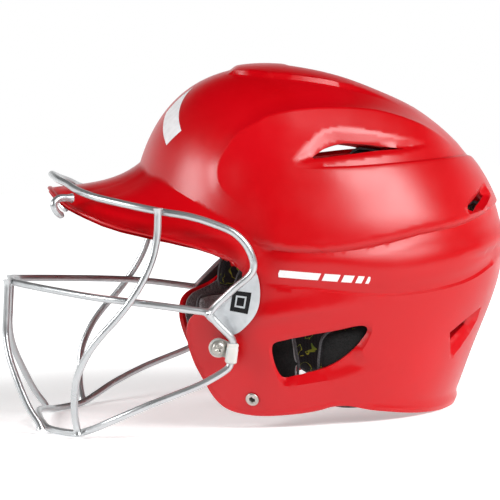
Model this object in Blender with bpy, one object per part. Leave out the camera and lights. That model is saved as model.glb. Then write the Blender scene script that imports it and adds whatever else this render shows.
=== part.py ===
"""Batting helmet with a wire face guard.

The helmet faces -Y, the wearer's left is +X and +Z is up.  X = 0 is the plane of
symmetry, Z = 0 is the surface it stands on.  Dimensions are in millimetres and
are turned into metres where a mesh is made.
"""

import math

import bmesh
import bpy
import numpy as np
from mathutils import Vector
from mathutils.geometry import delaunay_2d_cdt

MM = 0.001

# ---------------------------------------------------------------- shell sizes
WALL = 3.5
HALF_WIDTH = 110.0
CENTRE = np.array([42.6, 105.0])
MAP_RADIUS = 120.0
MESH_STEP = 11.0
EDGE_STEP = 9.0

# Side view (Y, Z) of the closed egg shape that the dome is a part of.
EGG = [
    (-72.3, 175.4), (-66.0, 190.0), (-57.6, 203.3), (-46.0, 217.5), (-30.0, 228.5), (-8.0, 234.0),
    (19.0, 235.0), (52.0, 230.5), (81.0, 221.0), (109.0, 207.0), (131.0, 191.0), (150.0, 171.5),
    (162.0, 152.0), (169.0, 134.0), (172.0, 113.0), (171.8, 92.0), (167.5, 78.0), (158.5, 58.7),
    (149.8, 38.9), (141.1, 21.0), (133.0, 0.0), (104.0, -40.0), (45.0, -66.0), (-25.0, -45.0),
    (-64.0, 5.0), (-81.0, 60.0), (-85.0, 110.0), (-81.5, 150.0),
]
EGG_HARMONICS = 7
EXPONENT_TOP, EXPONENT_LOW, EXPONENT_CROWN = 2.05, 2.65, 0.28

# Crease between dome and brim: across the forehead it is set by X, then by (Y, Z).
VALLEY_Z = 175.4
CREASE_X = [5.0, 11.0, 18.0, 27.0, 37.0]
CREASE_SIDE = [
    (-59.7, 162.8), (-50.5, 156.0), (-42.0, 150.2), (-33.0, 144.0), (-24.7, 138.6), (-15.0, 132.6),
    (-9.5, 124.0), (-9.5, 113.0),
]
BRIM_END = (-13.5, 103.0)
BRIM_TIP_Y = -137.0
BRIM_ROOT_Y = -10.0
BRIM_HALF_WIDTH = 102.5
BRIM_EDGE_Y = [-137.0, -132.0, -122.7, -113.4, -102.0, -90.0, -76.7, -61.0, -45.0, -33.0, -20.6, -13.5]
BRIM_EDGE_Z = [161.6, 156.0, 149.0, 144.0, 138.4, 134.0, 130.4, 126.2, 121.2, 116.5, 110.5, 103.0]
BRIM_COLUMNS, BRIM_ROWS = 18, 5

# Lower rim from the brim's end round the face opening, the ear flap and the nape.
RIM = [
    (-14.5, 95.0), (-18.5, 88.5), (-27.0, 83.0), (-36.0, 80.0), (-43.0, 77.7), (-48.5, 72.5),
    (-50.4, 64.0), (-49.6, 55.0), (-46.5, 44.0), (-41.0, 32.0), (-34.5, 20.0), (-26.0, 12.5),
    (-10.5, 8.6), (11.6, 8.6), (31.0, 10.6), (40.0, 12.6), (50.0, 12.4), (60.0, 10.0), (75.0, 7.2),
    (94.0, 3.6), (112.0, 1.4), (125.0, 0.75),
]

EAR_HOLE = [
    (3.1, 55.6), (11.9, 58.3), (20.3, 59.6), (33.3, 61.4), (49.6, 63.4), (60.0, 64.6), (64.5, 61.7),
    (59.8, 54.3), (48.6, 44.0), (37.3, 38.3), (26.8, 35.7), (16.7, 33.8), (8.4, 33.6), (3.4, 44.4),
]
TOP_VENT = [
    (36.5, 173.2), (41.0, 177.5), (48.0, 181.2), (58.0, 183.0), (72.0, 181.6), (86.0, 179.0),
    (99.0, 175.6), (86.0, 176.0), (70.0, 175.2), (52.0, 174.0),
]
REAR_VENT = [(138.0, 134.6), (145.0, 139.0), (152.5, 144.6), (154.8, 140.6), (148.0, 135.4), (141.0, 131.0)]
NAPE_VENT = [(124.1, 52.8), (134.5, 59.1), (144.5, 64.6), (138.8, 53.6), (125.0, 44.3)]
SCREW = (-31.3, 55.5)
EYELET = (-11.0, 20.0)
SCREW_HOLE_R, EYELET_HOLE_R = 4.6, 3.5

# Raised panels and ridges of the shell, as lines in the side view.
LEDGE = [
    (-7.5, 124.0), (2.0, 119.5), (21.3, 115.8), (48.0, 114.6), (75.0, 117.0), (102.5, 121.8),
    (126.0, 124.2), (139.0, 127.0),
]
LEDGE_RISE, LEDGE_FADE, LEDGE_SLOPE = 3.2, 34.0, 2.4
RIDGE = [(6.8, 93.7), (33.6, 90.1), (60.3, 85.4), (80.8, 83.6), (101.5, 84.3), (125.0, 84.6), (140.0, 87.5)]
RIDGE_RISE, RIDGE_FADE = 2.2, 17.0
PANEL = [
    (-23.0, 158.0), (-24.1, 167.1), (-18.8, 180.3), (-9.1, 190.7), (12.2, 200.0), (50.6, 202.0),
    (76.5, 199.0), (96.5, 192.6), (124.0, 179.5), (140.0, 167.5),
]
PANEL_RISE, PANEL_FADE, PANEL_SLOPE = 2.4, 40.0, 4.0
CREST_RISE, CREST_FRONT, CREST_HALF_WIDTH, CREST_SLOPE = 2.4, -6.0, 36.0, 5.0

# ------------------------------------------------------------------ pad sizes
PAD_GAP, CHEEK_GAP = 1.0, 9.5
PAD_EDGE = 0.45
TEMPLE_CORNERS = [(-24.0, 124.0), (46.0, 124.0), (46.0, 166.0), (-12.0, 162.0)]
SIDE_CORNERS = [(-31.0, 75.5), (58.0, 77.0), (54.0, 119.0), (-14.0, 119.0)]
CHEEK_CORNERS = [(-44.0, 24.0), (21.0, 8.0), (21.0, 69.0), (-54.0, 76.0)]
EAR_CORNERS = [(31.0, 5.0), (96.0, 8.0), (98.0, 68.0), (31.0, 68.0)]
UPPER_CORNERS = [(81.0, 138.0), (128.0, 138.0), (119.0, 176.0), (82.0, 184.0)]

# ------------------------------------------------------------------ face guard
WIRE_R = 2.38
WIRE_SIDES = 8
WIRE_STEP = 8.0
TOP_BAR = [
    (0.0, -133.5, 170.6), (12.0, -132.0, 169.6), (26.0, -128.5, 167.2), (39.0, -122.0, 163.9),
    (51.0, -117.0, 160.6), (64.0, -109.5, 157.2), (75.0, -100.0, 154.0), (90.0, -80.5, 148.8),
    (99.0, -62.6, 144.4), (104.5, -44.6, 140.4), (108.5, -29.0, 134.6), (111.0, -16.8, 128.0),
    (112.4, -8.8, 117.1), (112.0, -7.4, 104.2), (109.0, -20.0, 93.2), (105.6, -31.0, 83.6),
]
EYE_BAR = [
    (0.0, -165.4, 100.8), (10.0, -165.0, 100.6), (21.0, -161.5, 99.5), (40.0, -147.9, 97.3),
    (60.0, -130.9, 94.7), (83.0, -109.0, 91.4), (98.0, -84.8, 88.0), (103.0, -67.0, 85.0),
    (104.6, -48.4, 81.4), (105.0, -38.6, 79.4),
]
CHIN_BAR = [
    (0.0, -153.0, 8.2), (12.0, -152.4, 7.9), (30.0, -149.5, 5.8), (46.0, -144.5, 3.2),
    (62.0, -133.0, 2.2), (72.0, -124.0, 2.7), (84.0, -114.5, 6.4), (96.0, -100.0, 13.2),
    (103.0, -77.0, 22.4), (105.0, -47.8, 32.0), (104.6, -36.0, 37.0), (104.2, -28.4, 41.0),
    (104.0, -25.2, 43.6), (104.0, -24.2, 46.8), (104.0, -23.2, 52.0), (104.0, -22.2, 57.4),
    (104.2, -22.4, 60.8), (104.6, -25.0, 64.4), (105.2, -31.4, 71.8),
]
CENTRE_UPRIGHT = [
    (20.6, -166.9, 101.8), (20.6, -167.5, 94.0), (20.8, -169.0, 80.0), (22.0, -170.3, 65.0),
    (28.0, -168.5, 50.3), (36.8, -163.0, 33.0), (43.8, -156.8, 17.5), (47.8, -150.8, 7.4),
    (48.5, -149.6, 3.2),
]
SIDE_UPRIGHT = [
    (103.8, -64.6, 147.0), (103.4, -65.0, 140.0), (102.6, -66.0, 130.0), (102.4, -68.8, 118.5),
    (103.0, -73.1, 108.2), (103.6, -78.0, 99.6), (104.0, -85.2, 89.5), (102.6, -94.6, 78.6),
    (101.0, -105.9, 67.4), (97.5, -114.8, 56.3), (92.3, -122.2, 41.8), (87.6, -124.9, 28.5),
    (83.8, -125.6, 16.4), (81.4, -124.9, 7.5), (81.0, -124.5, 3.2),
]
BRIM_HOOK = [
    (52.6, -119.6, 155.0), (57.4, -126.8, 155.6), (60.2, -130.8, 153.2), (60.6, -131.2, 149.8),
    (58.6, -129.2, 146.0), (55.4, -126.2, 143.6),
]
PLATE_OFFSET, PLATE_THICKNESS = 2.2, 1.2
PLATE = [
    (-34.0, 80.5), (-21.0, 92.0), (-9.0, 102.0), (-4.6, 103.4), (-2.6, 92.1), (-4.4, 79.8), (-10.2, 70.8),
    (-19.6, 63.8), (-28.0, 68.0), (-36.0, 75.0),
]
CLIP_BORE_R, CLIP_SLEEVE_R, CLIP_BOSS_R = 2.85, 3.7, 6.2
CLIP_BASE_X, CLIP_TOP_X = 97.8, 100.6
CLIP_HOLE_R = 2.7
CLIP_SLEEVE_Z = (45.0, 59.0)
CLIP_WEB = [(-29.0, 61.2), (-23.4, 58.4), (-21.6, 56.0), (-22.6, 50.0), (-24.8, 47.8), (-29.5, 50.0)]

# -------------------------------------------------------------------- hardware
HARDWARE_SIDES = 16
SHANK_R, SCREW_HEAD_R, SCREW_HEAD_H = 2.1, 4.1, 2.2
WASHER_R, WASHER_BORE_R, WASHER_T = 5.0, 2.6, 0.8
NUT_FLANGE_R, NUT_BARREL_R, NUT_FLANGE_T, NUT_LENGTH = 6.2, 3.4, 1.2, 3.2
NUT_GAP = 5.4
EYELET_FLANGE_R, EYELET_BORE_R = 4.6, 1.9
PLAY = 0.35


# ------------------------------------------------------------- shell geometry
def egg_terms(angle):
    """Columns of the Fourier series that gives the egg's radius at an angle."""
    terms = [np.ones_like(angle)]
    for k in range(1, EGG_HARMONICS + 1):
        terms += [np.cos(k * angle), np.sin(k * angle)]
    return np.stack(terms, axis=-1)


def fitted_egg():
    points = np.array(EGG) - CENTRE
    angle = np.arctan2(points[:, 1], points[:, 0])
    return np.linalg.lstsq(egg_terms(angle), np.hypot(points[:, 0], points[:, 1]), rcond=None)[0]


EGG_SERIES = fitted_egg()


def egg_radius(angle):
    return egg_terms(angle) @ EGG_SERIES


def fullness(angle):
    """Exponent of the section: round over the crown, fuller towards the ear flaps."""
    low = 0.5 - 0.5 * np.sin(angle)
    crown = np.maximum(np.sin(angle), 0) ** 3
    return EXPONENT_TOP + (EXPONENT_LOW - EXPONENT_TOP) * low + EXPONENT_CROWN * crown


def map_to_space(q):
    """Points of the shell's map (n, 2) to points in space (n, 3); the map's rim is X = 0."""
    angle = np.arctan2(q[:, 1], q[:, 0])
    turn = np.hypot(q[:, 0], q[:, 1]) / MAP_RADIUS
    share = np.sin(turn)
    half = HALF_WIDTH * np.sqrt(np.maximum(1 - share ** fullness(angle), 0))
    x = half * np.sign(np.cos(turn) + 1e-12)
    x[np.abs(turn - math.pi / 2) < 1e-6] = 0
    reach = share * egg_radius(angle)
    return np.stack([x, CENTRE[0] + reach * np.cos(angle), CENTRE[1] + reach * np.sin(angle)], axis=1)


def side_to_map(yz):
    """Side-view points (n, 2) on the shell to points of the map."""
    d = np.atleast_2d(np.array(yz, float)) - CENTRE
    angle = np.arctan2(d[:, 1], d[:, 0])
    turn = np.arcsin(np.minimum(np.hypot(d[:, 0], d[:, 1]) / egg_radius(angle), 1))
    return MAP_RADIUS * turn[:, None] * np.stack([np.cos(angle), np.sin(angle)], axis=1)


def map_normals(q):
    """Outward normals of the egg at points of the map."""
    step = 0.05
    along = map_to_space(q + [step, 0]) - map_to_space(q - [step, 0])
    across = map_to_space(q + [0, step]) - map_to_space(q - [0, step])
    normal = np.cross(along, across)
    return normal / np.linalg.norm(normal, axis=1, keepdims=True)


def smooth_path(points, step):
    """A Catmull-Rom curve through the points, resampled at about one step."""
    p = np.array(points, float)
    p = np.vstack([2 * p[0] - p[1], p, 2 * p[-1] - p[-2]])
    t = np.linspace(0, 1, 12, endpoint=False)[:, None]
    fine = []
    for a, b, c, d in zip(p, p[1:], p[2:], p[3:]):
        square, cube = 2 * a - 5 * b + 4 * c - d, 3 * b - a - 3 * c + d
        fine.append(0.5 * (2 * b + (c - a) * t + square * t**2 + cube * t**3))
    return resampled(np.vstack([*fine, p[-2:-1]]), step)


def resampled(path, step):
    """The same polyline at even spacing, ends kept."""
    length = np.concatenate([[0], np.cumsum(np.linalg.norm(np.diff(path, axis=0), axis=1))])
    count = max(2, round(length[-1] / step) + 1)
    at = np.linspace(0, length[-1], count)
    return np.stack([np.interp(at, length, path[:, k]) for k in range(path.shape[1])], axis=1)


def forehead_point(x, z):
    """Side-view point where the egg's front is x from the middle at height z."""
    low, high = CENTRE[0] - 140.0, CENTRE[0]
    for _ in range(60):
        middle = (low + high) / 2
        angle = math.atan2(z - CENTRE[1], middle - CENTRE[0])
        share = math.hypot(z - CENTRE[1], middle - CENTRE[0]) / egg_radius(np.array([angle]))[0]
        outside = 1 - share ** fullness(angle) < (x / HALF_WIDTH) ** 2
        low, high = (middle, high) if outside else (low, middle)
    return (low + high) / 2, z


def crease_path():
    """The crease from the middle of the forehead to the brim's end, in the map."""
    fall = (VALLEY_Z - CREASE_SIDE[0][1]) / 48.0**1.75
    front = [forehead_point(x, VALLEY_Z - fall * x**1.75) for x in CREASE_X]
    start = np.array(forehead_point(0.0, VALLEY_Z)) - CENTRE
    first = start / np.hypot(*start) * MAP_RADIUS * math.pi / 2
    rest = side_to_map(front + CREASE_SIDE + [BRIM_END])
    path = smooth_path(np.vstack([first, rest]), 1.0)
    length = np.linalg.norm(np.diff(path, axis=0), axis=1).sum()
    path = resampled(path, length / BRIM_COLUMNS)
    path[0] = first
    return path


def middle_arc(first, last):
    """The map's rim from the valley over the crown to the nape."""
    start, end = math.atan2(first[1], first[0]), math.atan2(last[1], last[0])
    count = round((start - end) * MAP_RADIUS * 1.3 / EDGE_STEP)
    angle = np.linspace(start, end, count + 1)
    return MAP_RADIUS * math.pi / 2 * np.stack([np.cos(angle), np.sin(angle)], axis=1)


def nape_point():
    d = np.array(RIM[-1]) - CENTRE + [8.0, 0.0]
    return d / np.hypot(*d) * MAP_RADIUS * math.pi / 2


def rim_path():
    return smooth_path(np.vstack([side_to_map([BRIM_END] + RIM), nape_point()]), EDGE_STEP)


def ring(centre, radius, count):
    turn = np.arange(count) * 2 * math.pi / count
    return side_to_map(np.array(centre) + radius * np.stack([np.cos(turn), np.sin(turn)], axis=1))


def hole_outlines():
    ear = smooth_path(side_to_map(EAR_HOLE + EAR_HOLE[:1]), EDGE_STEP)[:-1]
    vents = [side_to_map(outline) for outline in (TOP_VENT, REAR_VENT, NAPE_VENT)]
    return [ear, *vents, ring(SCREW, SCREW_HOLE_R, 10), ring(EYELET, EYELET_HOLE_R, 10)]


def feature_lines():
    """Lines of the raised panels, which the mesh keeps as edges."""
    ledge = np.array(LEDGE)
    lines = [ledge, ledge - [0.0, LEDGE_SLOPE], np.array(RIDGE), np.array(PANEL)]
    return [smooth_path(side_to_map(line), EDGE_STEP) for line in lines]


def distance_to(points, line):
    """Distance of each point to a polyline, and the side it lies on (positive: above it)."""
    best = np.full(len(points), 1e9)
    side = np.zeros(len(points))
    for a, b in zip(line, line[1:]):
        ab = b - a
        t = np.clip(((points - a) @ ab) / (ab @ ab), 0, 1)
        off = points - (a + t[:, None] * ab)
        d = np.hypot(off[:, 0], off[:, 1])
        near = d < best
        best[near] = d[near]
        side[near] = np.sign(ab[0] * off[near, 1] - ab[1] * off[near, 0])
    return best, side


def smooth(t):
    t = np.clip(t, 0, 1)
    return t * t * (3 - 2 * t)


def rise(space):
    """How far the raised panels stand out of the egg, at points in space."""
    yz = space[:, 1:]
    y, z = yz[:, 0], yz[:, 1]
    d, side = distance_to(yz, np.array(LEDGE))
    ledge = np.where(side > 0, smooth(1 - d / LEDGE_FADE), smooth(1 - d / LEDGE_SLOPE))
    out = LEDGE_RISE * ledge * smooth((y + 12) / 20)
    d, _ = distance_to(yz, np.array(RIDGE))
    out += RIDGE_RISE * np.clip(1 - d / RIDGE_FADE, 0, 1) * smooth(y / 25)
    d, side = distance_to(yz, np.array(PANEL))
    panel = np.where(side < 0, 1 - smooth((d - 14) / PANEL_FADE), smooth(1 - d / PANEL_SLOPE))
    out += PANEL_RISE * panel * smooth((142 - y) / 30) * smooth((z - 118) / 35)
    half_width = CREST_HALF_WIDTH - 0.16 * np.maximum(y, 0)
    crest = smooth((half_width - np.abs(space[:, 0])) / CREST_SLOPE) * smooth((y - CREST_FRONT) / 6)
    return out + CREST_RISE * crest * smooth((150 - y) / 40) * (z > 150)


def inside_polygon(points, polygon):
    inside = np.zeros(len(points), bool)
    for (x0, y0), (x1, y1) in zip(polygon, np.roll(polygon, -1, axis=0)):
        crosses = (y0 > points[:, 1]) != (y1 > points[:, 1])
        with np.errstate(divide="ignore", invalid="ignore"):
            at = x0 + (points[:, 1] - y0) * (x1 - x0) / (y1 - y0)
        inside ^= crosses & (points[:, 0] < at)
    return inside


def inner_points(outline, holes, lines):
    """A triangular grid inside the outline, clear of every edge that the mesh keeps."""
    low, high = outline.min(axis=0), outline.max(axis=0)
    rows = np.arange(low[1], high[1], MESH_STEP * 0.866)
    columns = np.arange(low[0], high[0], MESH_STEP)
    grid = [(x + MESH_STEP / 2 * (k % 2), y) for k, y in enumerate(rows) for x in columns]
    points = np.array(grid)
    keep = inside_polygon(points, outline)
    for hole in holes:
        keep &= ~inside_polygon(points, hole)
    closed = [np.vstack([loop, loop[:1]]) for loop in (outline, *holes)]
    for line in closed + lines:
        keep &= distance_to(points, line)[0] > 0.55 * MESH_STEP
    return points[keep]


def dome_triangles(outline, holes, lines):
    """The dome's map points and triangles, holes left open."""
    points, edges = [], []
    for loop in (outline, *holes):
        first = len(points)
        points += list(loop)
        edges += [(first + k, first + (k + 1) % len(loop)) for k in range(len(loop))]
    for line in lines:
        first = len(points)
        points += list(line)
        edges += [(first + k, first + k + 1) for k in range(len(line) - 1)]
    points += list(inner_points(outline, holes, lines))
    found = delaunay_2d_cdt([tuple(p) for p in points], edges, [], 0, 1e-4)
    q = np.array([tuple(p) for p in found[0]])
    triangles = np.array(found[2])
    middle = q[triangles].mean(axis=1)
    keep = inside_polygon(middle, outline)
    for hole in holes:
        keep &= ~inside_polygon(middle, hole)
    return q, triangles[keep]


def brim_edge(end):
    """The brim's free edge from its tip to the point where it meets the shell's rim."""
    turn = np.linspace(0, math.pi / 2, 200)
    y = BRIM_ROOT_Y + (BRIM_TIP_Y - BRIM_ROOT_Y) * np.cos(turn) ** (2 / 2.4)
    x = BRIM_HALF_WIDTH * np.sin(turn)
    keep = y < BRIM_EDGE_Y[-1] - 1
    path = np.stack([x, y, np.interp(y, BRIM_EDGE_Y, BRIM_EDGE_Z)], axis=1)[keep]
    path = np.vstack([path, end])
    length = np.linalg.norm(np.diff(path, axis=0), axis=1).sum()
    return resampled(path, length / BRIM_COLUMNS)


def brim_points(crease):
    """Rows of brim points from the crease to the free edge."""
    edge = brim_edge(crease[-1])
    rows = []
    side = smooth(np.linspace(0, 1, len(crease)) * 1.6)[:, None]
    for t in np.linspace(0, 1, BRIM_ROWS + 1):
        drop = (1 - side) * (0.8 * (1 - (1 - t) ** 4) + 0.2 * t) + side * t
        row = crease + (edge - crease) * t
        row[:, 2:] = crease[:, 2:] + (edge[:, 2:] - crease[:, 2:]) * drop
        rows.append(row)
    return rows


def half_shell():
    """Vertices and faces of the shell's outer surface on the wearer's left."""
    crease = crease_path()
    rim = rim_path()
    arc = middle_arc(crease[0], rim[-1])
    rim[-1] = arc[-1]
    outline = np.vstack([crease, rim[1:], arc[::-1][1:-1]])
    q, triangles = dome_triangles(outline, hole_outlines(), feature_lines())
    space = map_to_space(q)
    brim = brim_points(map_to_space(crease))
    space = space + map_normals(q) * rise(space)[:, None]
    space[np.abs(space[:, 0]) < 0.05, 0] = 0
    faces = [tuple(t) for t in triangles]
    base = len(space)
    width = len(brim[0])
    for j in range(BRIM_ROWS):
        for i in range(width - 1):
            a = base + j * width + i
            faces.append((a, a + width, a + width + 1, a + 1))
    return np.vstack([space, *brim]), faces


# ------------------------------------------------------------ Blender objects
def look(name, colour, roughness, metallic=0.0):
    made = bpy.data.materials.new(name)
    made.use_nodes = True
    shader = made.node_tree.nodes["Principled BSDF"]
    shader.inputs["Base Color"].default_value = (*colour, 1.0)
    shader.inputs["Roughness"].default_value = roughness
    shader.inputs["Metallic"].default_value = metallic
    made.diffuse_color = (*colour, 1.0)
    return made


def add_mesh(name, points, faces, colour, pivot=None):
    """A mesh object from points in millimetres, placed under its joint's empty when it has one."""
    offset = np.zeros(3) if pivot is None else np.array(pivot.location)
    mesh = bpy.data.meshes.new(name)
    mesh.from_pydata((np.array(points) * MM - offset).tolist(), [], [tuple(map(int, f)) for f in faces])
    made = bpy.data.objects.new(name, mesh)
    made.parent = pivot
    bpy.context.scene.collection.objects.link(made)
    mesh.materials.append(look(name, *colour))
    return made


def tidy_normals(made, inward_from=None):
    """Merges shared points and turns the faces outwards."""
    work = bmesh.new()
    work.from_mesh(made.data)
    bmesh.ops.remove_doubles(work, verts=work.verts, dist=0.00002)
    bmesh.ops.recalc_face_normals(work, faces=work.faces)
    if inward_from is not None:
        faces = work.faces
        faces.ensure_lookup_table()
        total = sum((f.calc_center_median() - inward_from).dot(f.normal) * f.calc_area() for f in faces)
        if total < 0:
            bmesh.ops.reverse_faces(work, faces=work.faces)
    work.to_mesh(made.data)
    work.free()


def mirrored(points):
    return np.array(points, float) * [-1, 1, 1]


def tube_rings(path, radius, sides):
    """Rings of points round a path, kept from twisting."""
    tangent = np.gradient(path, axis=0)
    tangent /= np.linalg.norm(tangent, axis=1, keepdims=True)
    across = np.cross(tangent[0], [0.0, 0.0, 1.0])
    if np.linalg.norm(across) < 0.2:
        across = np.cross(tangent[0], [0.0, 1.0, 0.0])
    rings = []
    turn = np.arange(sides) * 2 * math.pi / sides
    for point, t in zip(path, tangent):
        across = across - t * (across @ t)
        across /= np.linalg.norm(across)
        up = np.cross(t, across)
        rings.append(point + radius * (np.cos(turn)[:, None] * across + np.sin(turn)[:, None] * up))
    return rings


def add_wire(name, points, colour, pivot, symmetric=False):
    if symmetric:
        points = [*mirrored(points[::-1]), *points[1:]]
    path = smooth_path(points, WIRE_STEP)
    rings = tube_rings(path, WIRE_R, WIRE_SIDES)
    made = add_mesh(name, np.vstack(rings), skin_faces(len(rings), WIRE_SIDES), colour, pivot)
    tidy_normals(made)
    return made


def skin_faces(count, sides):
    """Faces of a stack of rings with both ends closed."""
    faces = []
    for i in range(count - 1):
        for k in range(sides):
            a, b = i * sides + k, i * sides + (k + 1) % sides
            faces.append((a, b, b + sides, a + sides))
    faces.append(tuple(range(sides))[::-1])
    faces.append(tuple(range((count - 1) * sides, count * sides)))
    return faces


def loop_faces(count, sides):
    """Faces of rings that close on themselves, such as a ring's section turned about its axis."""
    faces = []
    for i in range(count):
        for k in range(sides):
            a, b = i * sides + k, i * sides + (k + 1) % sides
            c, d = (i + 1) % count * sides + (k + 1) % sides, (i + 1) % count * sides + k
            faces.append((a, b, c, d))
    return faces


def add_lathe(name, profile, origin, axis, colour, pivot=None, closed=False):
    """A body turned about an axis; each profile point is (distance along the axis, radius)."""
    axis = np.array(axis, float) / np.linalg.norm(axis)
    across = np.cross(axis, [0.0, 0.0, 1.0])
    across /= np.linalg.norm(across)
    up = np.cross(axis, across)
    turn = np.arange(HARDWARE_SIDES) * 2 * math.pi / HARDWARE_SIDES
    circle = np.cos(turn)[:, None] * across + np.sin(turn)[:, None] * up
    points = np.vstack([np.array(origin) + axis * x + radius * circle for x, radius in profile])
    faces = (loop_faces if closed else skin_faces)(len(profile), HARDWARE_SIDES)
    made = add_mesh(name, points, faces, colour, pivot)
    tidy_normals(made)
    return made


def add_shell(colour):
    points, faces = half_shell()
    made = add_mesh("outer_shell", points, faces, colour)
    tidy_normals(made, inward_from=Vector((0.0, CENTRE[0] * MM, CENTRE[1] * MM)))
    mirror = made.modifiers.new("other half", "MIRROR")
    mirror.merge_threshold = 0.00005
    wall = made.modifiers.new("wall", "SOLIDIFY")
    wall.thickness = WALL * MM
    wall.offset = -1
    wall.use_even_offset = True
    return made


def middle_patch(first, last, half_turn, columns, rows):
    """Map points of a pad across the plane of symmetry, between two angles of the side view (degrees)."""
    grid = np.empty((columns + 1, rows + 1, 2))
    for i, angle in enumerate(np.radians(np.linspace(first, last, columns + 1))):
        for j, turn in enumerate(np.linspace(-half_turn, half_turn, rows + 1)):
            grid[i, j] = MAP_RADIUS * (math.pi / 2 + turn) * np.array([math.cos(angle), math.sin(angle)])
    return grid


def side_patch(corners, columns, rows):
    """Map points of a pad on the wearer's left, between four side-view corners."""
    a, b, c, d = side_to_map(corners)
    u = np.linspace(0, 1, columns + 1)[:, None, None]
    v = np.linspace(0, 1, rows + 1)[None, :, None]
    return a * (1 - u) * (1 - v) + b * u * (1 - v) + c * u * v + d * (1 - u) * v


def pad_body(grid, gap, thickness):
    """A cushion against the shell's inner face, thick in the middle and thin at its edges."""
    columns, rows = grid.shape[0] - 1, grid.shape[1] - 1
    q = grid.reshape(-1, 2)
    surface, normal = map_to_space(q), map_normals(q)
    u = np.abs(np.linspace(-1, 1, columns + 1))[:, None]
    v = np.abs(np.linspace(-1, 1, rows + 1))[None, :]
    crown = (PAD_EDGE + (1 - PAD_EDGE) * np.sqrt((1 - u**4) * (1 - v**4))).reshape(-1, 1)
    outer = surface - normal * (WALL + gap)
    inner = outer - normal * thickness * crown
    count = len(q)
    faces = []
    for i in range(columns):
        for j in range(rows):
            a = i * (rows + 1) + j
            b = a + rows + 1
            faces += [(a, b, b + 1, a + 1), (count + a, count + a + 1, count + b + 1, count + b)]
    border = [i * (rows + 1) for i in range(columns + 1)]
    border += [columns * (rows + 1) + j for j in range(1, rows + 1)]
    border += [i * (rows + 1) + rows for i in range(columns - 1, -1, -1)]
    border += [j for j in range(rows - 1, 0, -1)]
    for a, b in zip(border, border[1:] + border[:1]):
        faces.append((b, a, count + a, count + b))
    return np.vstack([outer, inner]), faces


def add_pad(name, grid, thickness, colour, gap=PAD_GAP, right=False):
    points, faces = pad_body(grid, gap, thickness)
    made = add_mesh(name, mirrored(points) if right else points, faces, colour)
    tidy_normals(made)
    return made


def plate_body():
    """The side plate: a thin sheet that follows the shell outside it."""
    edge = side_to_map(PLATE)
    middle = edge.mean(axis=0)
    q = np.vstack([middle, middle + (edge - middle) * 0.5, edge])
    surface, normal = map_to_space(q), map_normals(q)
    low = surface + normal * PLATE_OFFSET
    high = low + normal * PLATE_THICKNESS
    sides, count = len(edge), len(q)
    faces = []
    for k in range(sides):
        m = (k + 1) % sides
        a, b, c, d = 1 + k, 1 + m, 1 + sides + m, 1 + sides + k
        faces += [(0, a, b), (count, count + b, count + a)]
        faces += [(a, d, c, b), (count + a, count + b, count + c, count + d)]
        faces.append((d, count + d, count + c, c))
    return np.vstack([low, high]), faces


def add_plate(name, colour, pivot, right):
    points, faces = plate_body()
    made = add_mesh(name, mirrored(points) if right else points, faces, colour, pivot)
    tidy_normals(made)
    return made


def add_clip(name, colour, pivot, right):
    """A sleeve round the wire and a flat boss for the screw, joined with a Boolean."""
    side = -1.0 if right else 1.0
    path = smooth_path(CHIN_BAR, 2.0)
    low, high = CLIP_SLEEVE_Z
    path = path[(path[:, 2] > low) & (path[:, 2] < high) & (path[:, 1] > -32)][::2]
    outer = tube_rings(path, CLIP_SLEEVE_R, HARDWARE_SIDES)
    inner = tube_rings(path, CLIP_BORE_R, HARDWARE_SIDES)[::-1]
    sleeve = np.vstack(outer + inner) * [side, 1, 1]
    made = add_mesh(name, sleeve, loop_faces(len(outer) * 2, HARDWARE_SIDES), colour, pivot)
    tidy_normals(made)
    boss = CLIP_WEB + arc_points(CLIP_BOSS_R, 290, 70, 9)
    add_boolean(made, "boss", prism(boss, CLIP_BASE_X * side, CLIP_TOP_X * side), pivot)
    hole = arc_points(CLIP_HOLE_R, 0, 330, 12)
    cutter = prism(hole, (CLIP_BASE_X - 3) * side, (CLIP_TOP_X + 2) * side)
    add_boolean(made, "screw hole", cutter, pivot, "DIFFERENCE")
    return made


def arc_points(radius, first, last, count):
    """Side-view points round the screw, between two angles in degrees."""
    turn = np.radians(np.linspace(first, last, count))
    return [(SCREW[0] + radius * math.cos(t), SCREW[1] + radius * math.sin(t)) for t in turn]


def prism(outline, x0, x1):
    """A prism along X over a side-view outline."""
    points = [(x, y, z) for x in (x0, x1) for y, z in outline]
    return points, skin_faces(2, len(outline))


def add_boolean(made, label, body, pivot, operation="UNION"):
    """Joins a body to a part, or cuts it from the part, with a hidden helper."""
    tool = add_mesh(f"{made.name} {label}", *body, ((1, 0, 0), 0.5), pivot)
    tidy_normals(tool)
    tool.hide_render = True
    tool.display_type = "WIRE"
    cut = made.modifiers.new(label, "BOOLEAN")
    cut.operation = operation
    cut.object = tool
    cut.solver = "EXACT"


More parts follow.
